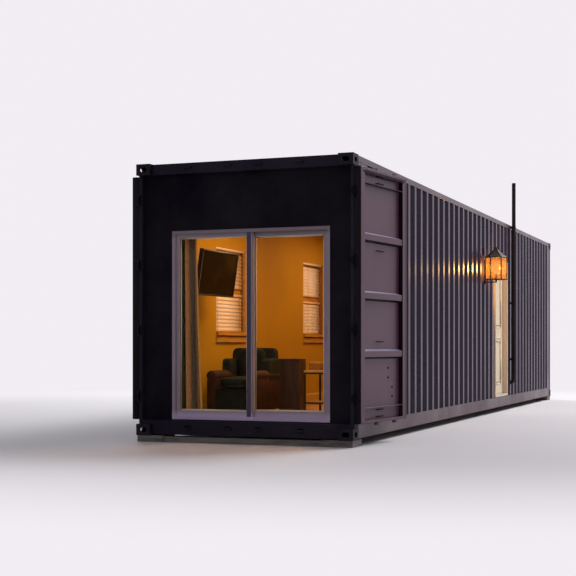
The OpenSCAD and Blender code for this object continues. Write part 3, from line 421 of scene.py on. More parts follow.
wall_low, wall_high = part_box("right_wall")
run = np.linspace(wall_low[1] + 0.01, wall_high[1] - 0.01, 500)
seams = []
for side in (-1, 1):
    for z, q in ((wall_low[2] + 0.001, 1), (wall_high[2] - 0.001, -1)):
        line = np.stack([np.full_like(run, side * (wall_high[0] - 0.0005)), run, np.full_like(run, z)], -1)
        seams.append(carried("seam", line, round_profile(0.0035, 6), (side, 0, 0), (0, 0, q), swell=0.16))
fit(joined("rail_weld_seams", seams), sheet_paint)


# Floor of the room: wide planks of stained timber laid along the cabin on the plywood deck, each
# with its own tone, and a painted skirting board round the walls.
def plank_floor():
    """Planks with staggered ends: the brick pattern picks each plank's tone, the grain runs along it."""
    tree, ins, give = group("plank floor", Light=(0.5, 0.28, 0.08), Dark=(0.2, 0.09, 0.03))
    lengthwise = stretched(tree, ins["Vector"], turn=(0, 0, math.radians(90)))
    plank = node(tree, "ShaderNodeTexBrick", {"Vector": lengthwise}, offset=0.37, squash=1.0)
    for label, value in (("Scale", 1.0), ("Mortar Size", 0.002), ("Mortar Smooth", 0.1), ("Brick Width", 1.25),
                         ("Row Height", 0.13), ("Color1", (0.2, 0.2, 0.2)), ("Color2", (1, 1, 1)),
                         ("Mortar", (0, 0, 0))):
        plug(tree, value, plank.inputs[label])
    streak = noise(tree, stretched(tree, ins["Vector"], (30, 2.2, 30)), 1.0, 6.0, 0.65)
    tone = math_node(tree, "MULTIPLY", plank.outputs["Color"], spread(tree, streak, 0.3, 0.7, 0.45, 1.0))
    return give(Colour=blend_colour(tree, tone, ins["Dark"], ins["Light"]),
                Roughness=spread(tree, streak, 0.3, 0.7, 0.32, 0.5),
                Height=math_node(tree, "SUBTRACT", math_node(tree, "MULTIPLY", streak, 0.3), plank.outputs["Fac"]))


wear(["floor_deck"], finish("stained planks", plank_floor(), values={
    "Light": (0.43, 0.24, 0.020), "Dark": (0.19, 0.095, 0.012)}, bump=0.35, depth=0.0015))

room_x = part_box("right_lining")[0][0]
room_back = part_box("end_lining")[0][1]
room_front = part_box("infill_over_door")[1][1]
room_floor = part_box("floor_deck")[1][2]
door_end = -6.096
door_low, door_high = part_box("entry_door_frame")


def rolled_paint():
    """Emulsion on board: the stipple of a roller, and slow patches where two coats overlap."""
    tree, ins, give = group("rolled paint", Paint=(0.7, 0.4, 0.1), Patchiness=0.08)
    shade = spread(tree, noise(tree, ins["Vector"], 2.2, 4.0), 0.3, 0.7, 0.0, ins["Patchiness"])
    stipple = noise(tree, ins["Vector"], 160.0, 3.0)
    return give(Colour=blend_colour(tree, shade, ins["Paint"], (0.12, 0.06, 0.02)),
                Roughness=spread(tree, stipple, 0.3, 0.7, 0.55, 0.75), Height=stipple)


rolled = rolled_paint()
honey = finish("honey trim paint", rolled, values={"Paint": (0.52, 0.32, 0.03), "Patchiness": 0.04}, bump=0.05)
skirting = np.array([[0, 0], [0.015, 0], [0.015, 0.075], [0.011, 0.088], [0.004, 0.095], [0, 0.095]])
boards = []
for start, end, face in (
        ((-room_x, room_front), (-room_x, room_back), (1, 0, 0)),
        ((-room_x, room_back), (room_x, room_back), (0, -1, 0)),
        ((room_x, door_high[1]), (room_x, room_back), (-1, 0, 0)),
        ((room_x, room_front), (room_x, door_low[1]), (-1, 0, 0))):
    line = np.array([[*start, room_floor], [*end, room_floor]])
    boards.append(carried("board", line, skirting, face, (0, 0, 1)))
fit(joined("skirting_boards", boards, smooth=False), honey)


# Linings and ceiling: insulated boards screwed to studs inside the sheets, the walls rolled in a
# warm ochre and the ceiling in cream.
wear(["left_lining", "right_lining", "right_lining_over_door", "end_lining"], finish(
    "ochre wall paint", rolled, values={"Paint": (0.495, 0.29, 0.003), "Patchiness": 0.15}, bump=0.08,
    Specular_IOR_Level=0.25))
wear(["ceiling"], finish("ceiling paint", rolled, values={"Paint": (0.62, 0.44, 0.20), "Patchiness": 0.05},
                         bump=0.08))


# Infill wall of the door end: flat boards in matt charcoal on either side of the sliding door and
# over it, with a folded drip strip along the head of the door.
# Infill paint: partly the real matt charcoal and partly painted shade, which takes it below the tone of black paint.
infill_paint = finish("infill wall paint", paint, values={
    "Paint": (0.0042, 0.0022, 0.0066), "Dustiness": 0.03, "Runs": 0.12, "Gloss": 0.5, "Glint": 0.02,
    "Peel": 120.0})
wear(["infill_sides", "infill_over_door"], infill_paint)
sash_low, sash_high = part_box("patio_frame")
line = np.array([[x, sash_low[1], sash_high[2]] for x in (sash_low[0] - 0.012, sash_high[0] + 0.012)])
drip = np.array([[0.006, 0.001], [-0.002, 0.001], [-0.004, -0.005], [-0.005, -0.005], [-0.004, 0.004],
                 [0.004, 0.022], [0.006, 0.022]])
fit(joined("door_drip_strip", [carried("strip", line, drip, (0, 1, 0), (0, 0, 1))], smooth=False), infill_paint)


# Sliding door: a white vinyl frame, with painted shade that makes it mauve outside, and two double-glazed
# panels, the left one fixed and the right one on rollers behind it, each pane held by glazing beads.
def framed(name, centre, across, upward, half, profile, corner=0.004, steps=3):
    """A profile (p, q) carried round a rounded rectangle: p moves it outwards in the plane of across and
    upward, and q moves it along their cross product."""
    across, upward = np.array(across, float), np.array(upward, float)
    outward = np.cross(across, upward)
    turn = np.concatenate([k * math.pi / 2 + np.linspace(0, math.pi / 2, steps) for k in range(4)])
    sides = np.repeat([[1, 1], [-1, 1], [-1, -1], [1, -1]], steps, axis=0)
    middle = sides * (np.array(half, float) - corner)
    reach = corner + profile[None, :, 0]
    flat = middle[:, None, :] + reach[..., None] * np.stack([np.cos(turn), np.sin(turn)], -1)[:, None, :]
    grid = (np.array(centre, float) + flat[..., :1] * across + flat[..., 1:] * upward
            + profile[None, :, 1:] * outward)
    return surface(name, grid, close_u=True, close_v=True)


def vinyl_skin():
    """Extruded plastic: almost plain, with a faint drift of tone and a trace of grime."""
    tree, ins, give = group("vinyl skin", Plastic=(0.62, 0.6, 0.64), Grime=0.12, Gloss=0.32)
    dirt = spread(tree, noise(tree, ins["Vector"], 4.0, 6.0, 0.7), 0.45, 0.8)
    dirt = math_node(tree, "MULTIPLY", dirt, ins["Grime"])
    return give(Colour=blend_colour(tree, dirt, ins["Plastic"], (0.2, 0.17, 0.15)),
                Roughness=math_node(tree, "ADD", ins["Gloss"], dirt), Height=noise(tree, ins["Vector"], 300.0, 2.0))


def vinyl_with_painted_shade():
    """Door vinyl, white plastic with painted mauve shade on the faces that look outdoors: the painted shade
    is where the normal points to -Y or the place is in front of the split. A painted sky reflection pales it
    near the sill, and painted shade darkens it under the head."""
    tree, ins, give = group("vinyl with painted shade", Place=None, Foil=(0.26, 0.205, 0.25), Plastic=(0.78, 0.66, 0.52),
                            Pale=(0.52, 0.42, 0.60), Split=-5.95)
    drift = noise(tree, ins["Vector"], 4.0, 6.0, 0.7)
    place = parts_of(tree, ins["Place"])
    normal = parts_of(tree, tree.nodes.new("ShaderNodeNewGeometry").outputs["Normal"])
    inner = math_node(tree, "MULTIPLY", math_node(tree, "GREATER_THAN", place["Y"], ins["Split"]),
                      math_node(tree, "GREATER_THAN", normal["Y"], -0.5))
    outdoor_shade_tone = blend_colour(tree, spread(tree, place["Z"], 0.29, 0.345, 0.95, 0.0), ins["Foil"], ins["Pale"])
    outdoor_shade_tone = blend_colour(tree, spread(tree, place["Z"], 2.16, 2.20, 0.0, 0.6), outdoor_shade_tone, (0.11, 0.075, 0.085))
    skin = blend_colour(tree, inner, outdoor_shade_tone, ins["Plastic"])
    return give(Colour=blend_colour(tree, spread(tree, drift, 0.45, 0.8, 0.0, 0.14), skin, (0.1, 0.08, 0.08)),
                Roughness=spread(tree, drift, 0.3, 0.8, 0.30, 0.46), Height=noise(tree, ins["Vector"], 300.0, 2.0))


def clear_glass(name, tint):
    """Coated glass with its body tint and a low index, so that the lit room shows through it."""
    material, tree, shader = new_material(name)
    for label, value in (("Base Color", tint), ("Roughness", 0.0), ("IOR", 1.05), ("Transmission Weight", 1.0)):
        plug(tree, value, shader[label])
    return material


vinyl = vinyl_skin()
white_vinyl = finish("door vinyl with painted shade", vinyl_with_painted_shade(), bump=0.03)
black_rubber = finish("black rubber", vinyl, bump=0.1, Specular_IOR_Level=0.08, values={
    "Plastic": (0.006, 0.005, 0.007), "Gloss": 0.6, "Grime": 0.03})
wear(["patio_frame", "patio_fixed_panel", "patio_sliding_panel"], white_vinyl)
wear(["patio_fixed_glass", "patio_sliding_glass", "window_glass"], clear_glass("window glass", (0.96, 0.97, 0.95)))

outer_bead = np.array([[0.001, -0.001], [0.001, 0.0025], [-0.001, 0.004], [-0.004, 0.003], [-0.005, -0.001]])
inner_bead = np.array([[0.001, -0.001], [0.001, 0.005], [-0.006, 0.007], [-0.014, 0.003], [-0.014, -0.001]])
lit_bead = finish("white glazing bead", vinyl, bump=0.03, values={"Plastic": (0.86, 0.70, 0.50), "Gloss": 0.4})
for body, pane, name in (("container", "patio_fixed_glass", "fixed_pane_beads"),
                         ("sliding_panel", "patio_sliding_glass", "sliding_pane_beads")):
    low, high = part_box(pane)
    middle = [(low[0] + high[0]) / 2, 0, (low[2] + high[2]) / 2]
    half = ((high[0] - low[0]) / 2, (high[2] - low[2]) / 2)
    loops = [framed("bead", (middle[0], low[1], middle[2]), (1, 0, 0), (0, 0, 1), half, outer_bead),
             framed("bead", (middle[0], high[1], middle[2]), (-1, 0, 0), (0, 0, 1), half, inner_bead)]
    fit(joined(name, loops), lit_bead, body)

rail_low, rail_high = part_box("patio_sliding_panel")
fixed_low, fixed_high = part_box("patio_fixed_panel")
brush = np.array([[-0.002, 0], [0.004, 0], [0.005, 0.0045], [-0.003, 0.0045]])
line = np.array([[fixed_high[0] - 0.012, fixed_high[1], z] for z in (rail_low[2] + 0.01, rail_high[2] - 0.01)])
fit(joined("meeting_stile_brush", [carried("brush", line, brush, (1, 0, 0), (0, 1, 0))]), black_rubber)
interlock = np.array([[0, -0.001], [0, 0.0022], [0.003, 0.004], [0.041, 0.004], [0.046, 0.0022], [0.046, -0.001]])
line = np.array([[fixed_high[0] - 0.064, fixed_low[1], z] for z in (fixed_low[2] + 0.012, fixed_high[2] - 0.012)])
fit(joined("meeting_stile_interlock", [carried("interlock", line, interlock, (1, 0, 0), (0, -1, 0))], smooth=False),
    finish("slate vinyl", vinyl, bump=0.03, values={"Plastic": (0.035, 0.024, 0.062)},
           Specular_IOR_Level=0.3))

lip = np.array([[-0.022, 0], [0.022, 0], [0.019, 0.004], [-0.019, 0.004]])
weeps = []
for x in np.linspace(sash_low[0] + 0.16, sash_high[0] - 0.16, 4):
    line = np.array([[x, sash_low[1], sash_low[2] + z] for z in (0.012, 0.019)])
    weeps.append(carried("weep", line, lip, (1, 0, 0), (0, -1, 0)))
fit(joined("sill_weep_covers", weeps, smooth=False), white_vinyl)


def turned(name, profile, centre, axis, count=24):
    """A profile of (radius, height) pairs turned once round an axis through centre."""
    axis = np.array(axis, float)
    side = np.cross(axis, (0.3, 0.5, 0.81))
    side /= np.linalg.norm(side)
    other = np.cross(axis, side)
    angle = 2 * math.pi * np.arange(count) / count
    ring = np.cos(angle)[:, None] * side + np.sin(angle)[:, None] * other
    grid = np.array(centre, float) + profile[None, :, :1] * ring[:, None, :] + profile[None, :, 1:] * axis
    return surface(name, grid, close_u=True)


grip_x = rail_high[0] - 0.032
grip = np.array([[0, -0.001], [0, 0.004], [-0.003, 0.006], [-0.007, 0.001], [-0.0075, -0.001]])
pull = framed("pull", (grip_x, rail_low[1], 1.16), (1, 0, 0), (0, 0, 1), (0.013, 0.075), grip, corner=0.0125, steps=8)
lock_edge = np.array([[0.0, 0.006], [0.007, 0.006], [0.0095, 0.004], [0.010, -0.001]])
lock = turned("lock", lock_edge, (grip_x, rail_low[1], 1.29), (0, -1, 0))
fit(joined("sliding_door_pull", [pull, lock]), white_vinyl, "sliding_panel")


# Cargo leaves: each one a welded frame of two hollow stiles and two channels round a sheet with
# three pressed ribs, hung on four blades and edged with a rubber seal under a riveted strip.
# Cargo door paint: partly the real charcoal and partly painted light that makes it mauve; the paint group adds painted
# shade on faces to -Y, downwards and round the hinge pins, and a painted sky reflection on faces that look up.
door_paint = finish("cargo door paint", paint, values={
    "Paint": (0.084, 0.030, 0.056), "Dustiness": 0.12, "Runs": 0.25, "Gloss": 0.34, "Grease": 1.0,
    "Shelter": 0.95, "Settled": 0.6, "Glint": 0.3}, bump=0.1)
wear(["cargo_door_left", "cargo_door_right"], door_paint)
swing = math.radians(262.5)


def on_leaf(piece, side):
    """Turns a piece made in the leaf's shut place, with the pin at x = y = 0 and the leaf towards -X, about
    the pin to where the leaf stands open, and mirrors it for the left leaf."""
    x, y, z = points_of(piece.data).T
    place = np.stack([side * (pin[0] + x * math.cos(swing) - y * math.sin(swing)),
                      pin[1] + x * math.sin(swing) + y * math.cos(swing), z], -1)
    piece.data.vertices.foreach_set("co", place.ravel())
    return tidy(piece)


def repeated(name, shape, places):
    """One small shape put at many places."""
    verts, faces = shape
    places = np.asarray(places, float)
    every = (verts[None] + places[:, None, :]).reshape(-1, 3)
    return tidy(new_piece(name, every, [[i + len(verts) * k for i in f] for k in range(len(places)) for f in faces],
                          False))


def shape_of(piece):
    """A piece's points and faces, closed and turned outwards, after which the piece itself goes."""
    tidy(piece)
    shape = points_of(piece.data), [list(p.vertices) for p in piece.data.polygons]
    bpy.data.objects.remove(piece)
    return shape


leaf_near, leaf_far, leaf_low, leaf_high = 0.035, 1.2, 0.238, 2.835
leaf_face, leaf_back = 0.026, 0.076
leaf_middle = (-(leaf_near + leaf_far) / 2, 0, (leaf_low + leaf_high) / 2)
leaf_half = ((leaf_far - leaf_near) / 2, (leaf_high - leaf_low) / 2)
seal = np.array([[-0.001, 0.003], [0.0012, 0.004], [0.0012, 0.029], [0.0025, 0.031], [0.0034, 0.034],
                 [0.0022, 0.037], [0.0034, 0.041], [0.0022, 0.044], [0.0012, 0.046], [0.0012, 0.0735],
                 [-0.001, 0.0745]])
strip = np.array([[-0.004, 0.0755], [-0.004, 0.0775], [-0.005, 0.078], [-0.029, 0.078], [-0.030, 0.0775],
                  [-0.030, 0.0755]])
head_shadow_band = np.array([[0.0755, 0], [0.0772, 0.002], [0.0772, 0.023], [0.0755, 0.025]])
head = np.array([[x, 0, leaf_high - 0.0565] for x in (-leaf_far + 0.062, -leaf_near - 0.062)])
rivet_edge = np.array([[0, 0.0022], [0.003, 0.0018], [0.0046, 0.0006], [0.005, -0.001]])
rivet = shape_of(turned("rivet", rivet_edge, (0, 0, 0), (0, 1, 0), 8))
along_x = np.arange(-leaf_far + 0.05, -leaf_near - 0.04, 0.12)
along_z = np.arange(leaf_low + 0.08, leaf_high - 0.05, 0.15)
rivet_places = np.array([(x, leaf_back + 0.002, z) for z in (leaf_low + 0.017, leaf_high - 0.017) for x in along_x]
                        + [(x, leaf_back + 0.002, z) for x in (-leaf_far + 0.017, -leaf_near - 0.017) for z in along_z])
bolt_edge = np.array([[0, 0.007], [0.008, 0.007], [0.0105, 0.0045], [0.011, -0.001]])
bolt = shape_of(turned("bolt", bolt_edge, (0, 0, 0), (0, 1, 0), 10))
bolt_places = [(x, leaf_face + 0.004, z)
               for x, z in ((-0.814, 0.792), (-0.814, 0.690), (-0.914, 0.587), (-0.914, 0.493))]
staple_line = np.array([[-0.075, 0, 0], [-0.075, 0.016, 0], [-0.068, 0.022, 0], [0.068, 0.022, 0],
                        [0.075, 0.016, 0], [0.075, 0, 0]])
staple_places = [(x, leaf_face + 0.003, z) for x, z in (
    (-0.585, 2.781), (-0.585, 2.710), (-0.592, 2.010), (-0.592, 1.067), (-0.579, 0.363), (-0.579, 0.292))]
leaves = (("right", 1), ("left", -1))
for tag, side in leaves:
    body = f"cargo_leaf_{tag}"
    rubber = framed("seal", leaf_middle, (-1, 0, 0), (0, 0, 1), leaf_half, seal, corner=0.006)
    fit(on_leaf(joined(f"leaf_seal_{tag}", [rubber]), side), black_rubber, body)
    flat = framed("strip", leaf_middle, (-1, 0, 0), (0, 0, 1), leaf_half, strip, corner=0.006)
    rivets = repeated("rivets", rivet, rivet_places)
    fit(on_leaf(joined(f"seal_strip_{tag}", [flat, rivets], smooth=False), side), door_paint, body)
    # Painted shadow: a black rubber band under the head's riveted strip stands for the shadow line there.
    lip = carried("head_shadow_band", head, head_shadow_band, (0, 1, 0), (0, 0, 1))
    fit(on_leaf(joined(f"leaf_head_shadow_band_{tag}", [lip], smooth=False), side), black_rubber, body)
    bolts = repeated("bolts", bolt, bolt_places)
    staples = [carried("staple", staple_line + place, round_profile(0.005), (0, 0.7, 0.7), (0, -0.7, 0.7))
               for place in staple_places]
    fit(on_leaf(joined(f"leaf_bolts_{tag}", [bolts, *staples]), side), infill_paint, body)


# Locking gear: two rods a leaf with a cam at each end, held to the outer face by bolted brackets
# and worked by a hinged bar handle; painted over with the rest.
gear_paint = finish("locking gear paint", paint, values={
    "Paint": (0.040, 0.031, 0.039), "Dustiness": 0.4, "Runs": 0.2, "Gloss": 0.45, "Peel": 140.0}, bump=0.25)
wear(["locking_gear_left", "locking_gear_right"], gear_paint)
nut_edge = np.array([[0, 0.006], [0.0075, 0.006], [0.0085, 0.005], [0.0085, -0.001]])
nut = shape_of(turned("nut", nut_edge, (0, 0, 0), (0, -1, 0), 6))
rod_x, guide_y, guide_half = (-0.572, -1.035), -0.013, 0.03
guide_z = (leaf_low + 0.085 + guide_half, 0.94 + 0.19 + guide_half, 1.5365 + 0.19 + guide_half,
           leaf_high - 0.085 - guide_half)
nut_places = [(x + s, guide_y, z) for x in rod_x for s in (-0.026, 0.026) for z in guide_z]
for tag, side in leaves:
    fit(on_leaf(repeated(f"guide_nuts_{tag}", nut, nut_places), side), gear_paint, f"cargo_leaf_{tag}")


# Windows of the left wall: double-hung sashes of varnished pine in a lined opening, with a stool and
# an apron on the room side and a slatted blind hung over each sash on ladder tapes.
window_pine = finish("varnished pine", grain, (20, 3, 20), {
    "Light": (0.58, 0.32, 0.04), "Dark": (0.38, 0.19, 0.02), "Wear": 0.02}, 0.15)
shaded_stop_pine = finish("pine stop with painted shade", grain, (20, 20, 3), {
    "Light": (0.30, 0.14, 0.035), "Dark": (0.13, 0.055, 0.018), "Wear": 0.02}, 0.15)
shadow_line_pine = finish("pine with painted shadow lines", grain, (20, 3, 20), {
    "Light": (0.13, 0.06, 0.02), "Dark": (0.06, 0.025, 0.01), "Wear": 0.02}, 0.15)
wear(["window_frames"], window_pine)
enamel = finish("enamelled slats", vinyl, bump=0.02, values={
    "Plastic": (0.90, 0.76, 0.60), "Gloss": 0.38, "Grime": 0.04})
tape_cloth = finish("ladder tape", vinyl, bump=0.1, values={"Plastic": (0.20, 0.12, 0.06), "Gloss": 0.8})


def board(name, low, high, edge=0.003):
    """A board with its edges eased: a box whose edges are bevelled."""
    low, high = np.array(low, float), np.array(high, float)
    shape = bmesh.new()
    bmesh.ops.create_cube(shape, size=1.0)
    for vert in shape.verts:
        vert.co = [(low[i] + high[i]) / 2 + vert.co[i] * (high[i] - low[i]) for i in range(3)]
    bmesh.ops.bevel(shape, geom=shape.edges[:], offset=edge, segments=2, affect="EDGES")
    piece = new_piece(name, [], [])
    shape.to_mesh(piece.data)
    shape.free()
    return piece


window_z0, window_width, room_face = 1.180, 0.910, -1.084
sash_x, lip_x, rail_x, lip_front, stop_x = -1.1645, -1.1585, -1.158, -1.154, -1.128
slat_x, bar_x, valance_x, tape_x, wand_x = -1.143, -1.145, -1.154, -1.1285, -1.124
slat_pitch, slat_tilt, slat_half = 0.0462, math.radians(70), 0.0245
bow = np.linspace(-1, 1, 7)
crown = 0.003 * (1 - bow ** 2)
down = np.array([math.cos(slat_tilt), -math.sin(slat_tilt)])
face = np.array([math.sin(slat_tilt), math.cos(slat_tilt)])
slat_edge = np.concatenate([slat_half * bow[:, None] * down + (crown + 0.0008)[:, None] * face,
                            (slat_half * bow[:, None] * down + (crown - 0.0008)[:, None] * face)[::-1]])
bar_edge = np.array([[-0.009, 0], [0.009, 0], [0.010, 0.008], [0.009, 0.016], [-0.009, 0.016], [-0.010, 0.008]])
valance_edge = np.array([[0, 0], [0.050, 0], [0.054, 0.004], [0.052, 0.013], [0.054, 0.022], [0.049, 0.026],
                         [0, 0.026]])
tape_edge = np.array([[-0.0006, -0.002], [0.0006, -0.002], [0.0006, 0.002], [-0.0006, 0.002]])
cove = np.array([[0, 0], [0.020, 0], [0.020, -0.003], [0.013, -0.006], [0.009, -0.012], [0, -0.014]])
bead_edge = np.array([[0, 0], [0.004, 0.001], [0.006, 0.005], [0.004, 0.009], [0, 0.010]])
for number, (start, clear, tape_in) in enumerate(((-4.276, 0.040, 0.10), (-1.246, 0.125, 0.28)), 1):
    end = start + window_width
    y0, y1 = start + 0.014, end - clear
    line = np.array([[0, y0, 0], [0, y1, 0]])
    slat = shape_of(carried("slat", line, slat_edge, (1, 0, 0), (0, 0, 1)))
    slats, tapes = [], []
    for z0, z1, depth in ((1.200, 1.662, 0.5), (1.735, 2.218, 1.0)):
        heights = np.arange(z0 + 0.036, z1 - 0.036, slat_pitch)
        slats.append(repeated("stack", slat, [(slat_x, 0, z) for z in heights]))
        slats.append(carried("bar", line + (bar_x, 0, z0), bar_edge, (1, 0, 0), (0, 0, 1)))
        slats.append(carried("valance", line + (valance_x, 0, z1 - 0.026), valance_edge * (depth, 1), (1, 0, 0),
                             (0, 0, 1)))
        for y in (y0 + tape_in, y1 - 0.085):
            tape = np.array([[tape_x, y, z0 + 0.012], [tape_x, y, z1 - 0.02]])
            tapes.append(carried("tape", tape, tape_edge, (1, 0, 0), (0, 1, 0)))
        wand = np.array([[wand_x, y0 + 0.045, z1 - 0.03], [wand_x, y0 + 0.045, z1 - 0.36]])
        tapes.append(carried("wand", wand, round_profile(0.003, 6), (1, 0, 0), (0, 1, 0)))
    blind = fit(joined(f"slatted_blind_{number}", slats), enamel)
    if number == 1:
        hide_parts("window_blinds")
    fit(joined(f"blind_tapes_{number}", tapes), tape_cloth)
    # The apron mouldings are in a darker pine whose colour is painted shade, for the shadow lines under the stool and
    # along the apron.
    along = np.array([[0, start + 0.004, 0], [0, end - 0.004, 0]])
    trim = [carried("cove", along + (room_face, 0, window_z0 - 0.027), cove, (1, 0, 0), (0, 0, 1)),
            carried("bead", along + (room_face, 0, window_z0 - 0.118), bead_edge, (1, 0, 0), (0, 0, 1))]
    fit(joined(f"window_apron_mouldings_{number}", trim), shadow_line_pine)
    rail = [board("rail", (sash_x, start + 0.04, 1.600), (rail_x, end - 0.04, 1.790), 0.002),
            board("lip", (lip_x, start + 0.04, 1.690), (lip_front, end - 0.04, 1.712), 0.002)]
    # The side stop fills the far reveal in a darker pine that is painted shade, for the shade that falls there.
    stop = board("stop", (sash_x, y1 + 0.006, window_z0 + 0.03), (stop_x, end - 0.003, window_z0 + 1.02))
    fit(joined(f"window_side_stop_{number}", [stop], smooth=False), shaded_stop_pine)
    fit(joined(f"window_meeting_rail_{number}", rail, smooth=False), window_pine)


# Entry door on the right: a steel-skinned leaf with two raised mouldings on each face, painted
# cream, in a rebated timber frame with an aluminium threshold.
entry_paint = finish("entry door paint", rolled, values={"Paint": (0.72, 0.6, 0.42), "Patchiness": 0.05}, bump=0.04)
wear(["entry_door_leaf"], entry_paint)
wear(["entry_door_frame"], finish("entry frame paint", rolled, bump=0.04, values={
    "Paint": (0.70, 0.55, 0.40), "Patchiness": 0.05}))
entry_low, entry_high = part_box("entry_door_leaf")
leaf_x0, leaf_x1 = 1.104, 1.149
moulding = np.array([[0.002, -0.009], [0.002, 0.001], [-0.004, 0.0045], [-0.010, 0.003], [-0.016, -0.003],
                     [-0.022, -0.008]])
raised = np.array([[0.0, -0.0085], [0.0, -0.006], [-0.035, -0.001]])
z_foot, margin, slope = entry_low[2], 0.14, 0.035
centre_y, half_y = (entry_low[1] + entry_high[1]) / 2, (entry_high[1] - entry_low[1]) / 2 - margin
mouldings = []
for z0, z1 in ((z_foot + margin, z_foot + 0.88), (z_foot + 1.02, entry_high[2] - margin)):
    half_z = (z1 - z0) / 2
    for x, across in ((leaf_x1, (0, 1, 0)), (leaf_x0, (0, -1, 0))):
        centre = (x, centre_y, (z0 + z1) / 2)
        mouldings += [framed("moulding", centre, across, (0, 0, 1), (half_y, half_z), moulding),
                      framed("field", centre, across, (0, 0, 1), (half_y - slope, half_z - slope), raised)]
fit(joined("entry_door_mouldings", mouldings), entry_paint, "entry_leaf")


def worked_metal():
    """Brushed or cast metal: a fine grain, handling marks and a little tarnish in them."""
    tree, ins, give = group("worked metal", Metal=(0.5, 0.49, 0.47), Tarnish=(0.2, 0.17, 0.14), Age=0.3, Gloss=0.28)
    marks = spread(tree, noise(tree, ins["Vector"], 30.0, 6.0, 0.7), 0.42, 0.7)
    old = math_node(tree, "MULTIPLY", marks, ins["Age"])
    return give(Colour=blend_colour(tree, old, ins["Metal"], ins["Tarnish"]),
                Roughness=math_node(tree, "ADD", ins["Gloss"], math_node(tree, "MULTIPLY", old, 0.8)),
                Height=noise(tree, ins["Vector"], 400.0, 2.0))


metal = worked_metal()
satin_nickel = finish("satin nickel", metal, bump=0.05, Metallic=1.0)
wear(["entry_door_handle"], satin_nickel)
keyway = np.array([[0, 0.012], [0.014, 0.012], [0.017, 0.008], [0.026, 0.005], [0.028, -0.001]])
bolts = [turned("deadbolt", keyway, (x, entry_low[1] + 0.065, z_foot + 1.12), (out, 0, 0))
         for x, out in ((leaf_x1, 1), (leaf_x0, -1))]
fit(joined("entry_deadbolt", bolts), satin_nickel, "entry_leaf")
line = np.array([[1.11, y, door_low[2] + 0.03] for y in (door_low[1] + 0.036, door_high[1] - 0.036)])
ridge = np.array([[0.008, 0.002], [0.010, 0.0036], [0.014, 0.0036], [0.016, 0.002]])
tread = np.concatenate([[[0, -0.001], [0, 0.002]], *(ridge + (0.015 * k, 0) for k in range(6)),
                        [[0.106, 0.002], [0.108, -0.001]]])
plate = carried("tread", line, tread, (1, 0, 0), (0, 0, 1))
fit(joined("entry_threshold_plate", [plate], smooth=False), satin_nickel)


# Wall lantern: a six-sided cage of oiled bronze with seeded amber panes, a flared roof under a ball
# and a frosted globe inside, on a bracket bolted to an outer flat of the wall.
bronze = finish("oiled bronze", metal, bump=0.2, Metallic=0.8, values={
    "Metal": (0.030, 0.022, 0.017), "Tarnish": (0.06, 0.04, 0.024), "Age": 0.6, "Gloss": 0.4})
wear(["wall_lantern"], bronze)


def glowing(name, colour, strength, alpha=1.0):
    """A lit surface whose brightness drifts a little, as seeded or frosted glass does."""
    material, tree, shader = new_material(name)
    seeds = noise(tree, tree.nodes.new("ShaderNodeTexCoord").outputs["Object"], 38.0, 3.0)
    tint = blend_colour(tree, spread(tree, seeds, 0.3, 0.7), colour, [c * 0.6 for c in colour])
    for label, value in (("Emission Color", tint), ("Base Color", [c * 0.2 for c in colour]),
                         ("Emission Strength", strength), ("Roughness", 0.25), ("Alpha", alpha)):
        plug(tree, value, shader[label])
    return material


wear(["lantern_glass"], glowing("lamp glow", (1.0, 0.62, 0.16), 2.1))
lamp_low, lamp_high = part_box("lantern_glass")
cage_x, cage_y = (lamp_low[0] + lamp_high[0]) / 2, (lamp_low[1] + lamp_high[1]) / 2
cage_z, cage_r, cage_h, cage_turn = 1.99, 0.160, 0.330, math.radians(8.5)
pane_r, peak_r, roof_h = cage_r - 0.009, 0.014, 0.135
half = pane_r / 2 - 0.003
sheet = np.array([[-half, -0.001], [half, -0.001], [half, 0.001], [-half, 0.001]])
corner_angle = cage_turn + np.arange(7) * math.pi / 3
corners = np.stack([np.cos(corner_angle), np.sin(corner_angle), 0 * corner_angle], -1)
axis = np.array([cage_x, cage_y, cage_z])
panes = []
for first, second in zip(corners[:-1], corners[1:]):
    along, outward = second - first, (first + second) / np.linalg.norm(first + second)
    middle = axis + pane_r * (first + second) / 2
    path = np.array([middle + (0, 0, 0.010), middle + (0, 0, cage_h - 0.010)])
    panes.append(carried("pane", path, sheet, along / np.linalg.norm(along), outward))
# The panes glow with painted light: amber emission for the bulb's light in the seeded glass.
amber_glow_glass = glowing("seeded amber glass with painted glow", (1.0, 0.42, 0.06), 0.30, 0.52)
glazing = fit(joined("lantern_panes", panes, smooth=False), amber_glow_glass)
for lit in (glazing, nodes["lantern_glass"]):
    lit.visible_shadow = False
rise = np.linspace(0, 1, 13)
hip_reach = (cage_r - peak_r) * (1 - rise) ** 1.3 + peak_r + 0.0045
hips = []
for out in corners[:-1]:
    line = axis + hip_reach[:, None] * out + np.stack([0 * rise, 0 * rise, cage_h + roof_h * rise], -1)
    hips.append(carried("hip", line, round_profile(0.004, 6), np.cross((0, 0, 1), out), 0.7 * out + (0, 0, 0.7)))
eave = np.array([[0, 0], [0.006, 0.001], [0.007, 0.005], [0.004, 0.009], [0, 0.009]])
for height in (-0.001, cage_h - 0.008):
    rim = axis + (cage_r + 0.0005) * corners[:-1] + (0, 0, height)
    grid = rim[:, None] + eave[None, :, :1] * corners[:-1][:, None] + eave[None, :, 1:] * np.array([0, 0, 1.0])
    hips.append(surface("rim", grid, close_u=True, close_v=True))
fit(joined("lantern_rims", hips, smooth=False), bronze)
glow = bpy.data.lights.new("lantern_light", "POINT")
glow.energy, glow.color, glow.shadow_soft_size = 26, (1.0, 0.50, 0.12), 0.05
glow_lamp = bpy.data.objects.new("lantern_light", glow)
glow_lamp.location = (cage_x, cage_y, cage_z + 0.17)
glow_lamp.visible_camera = False
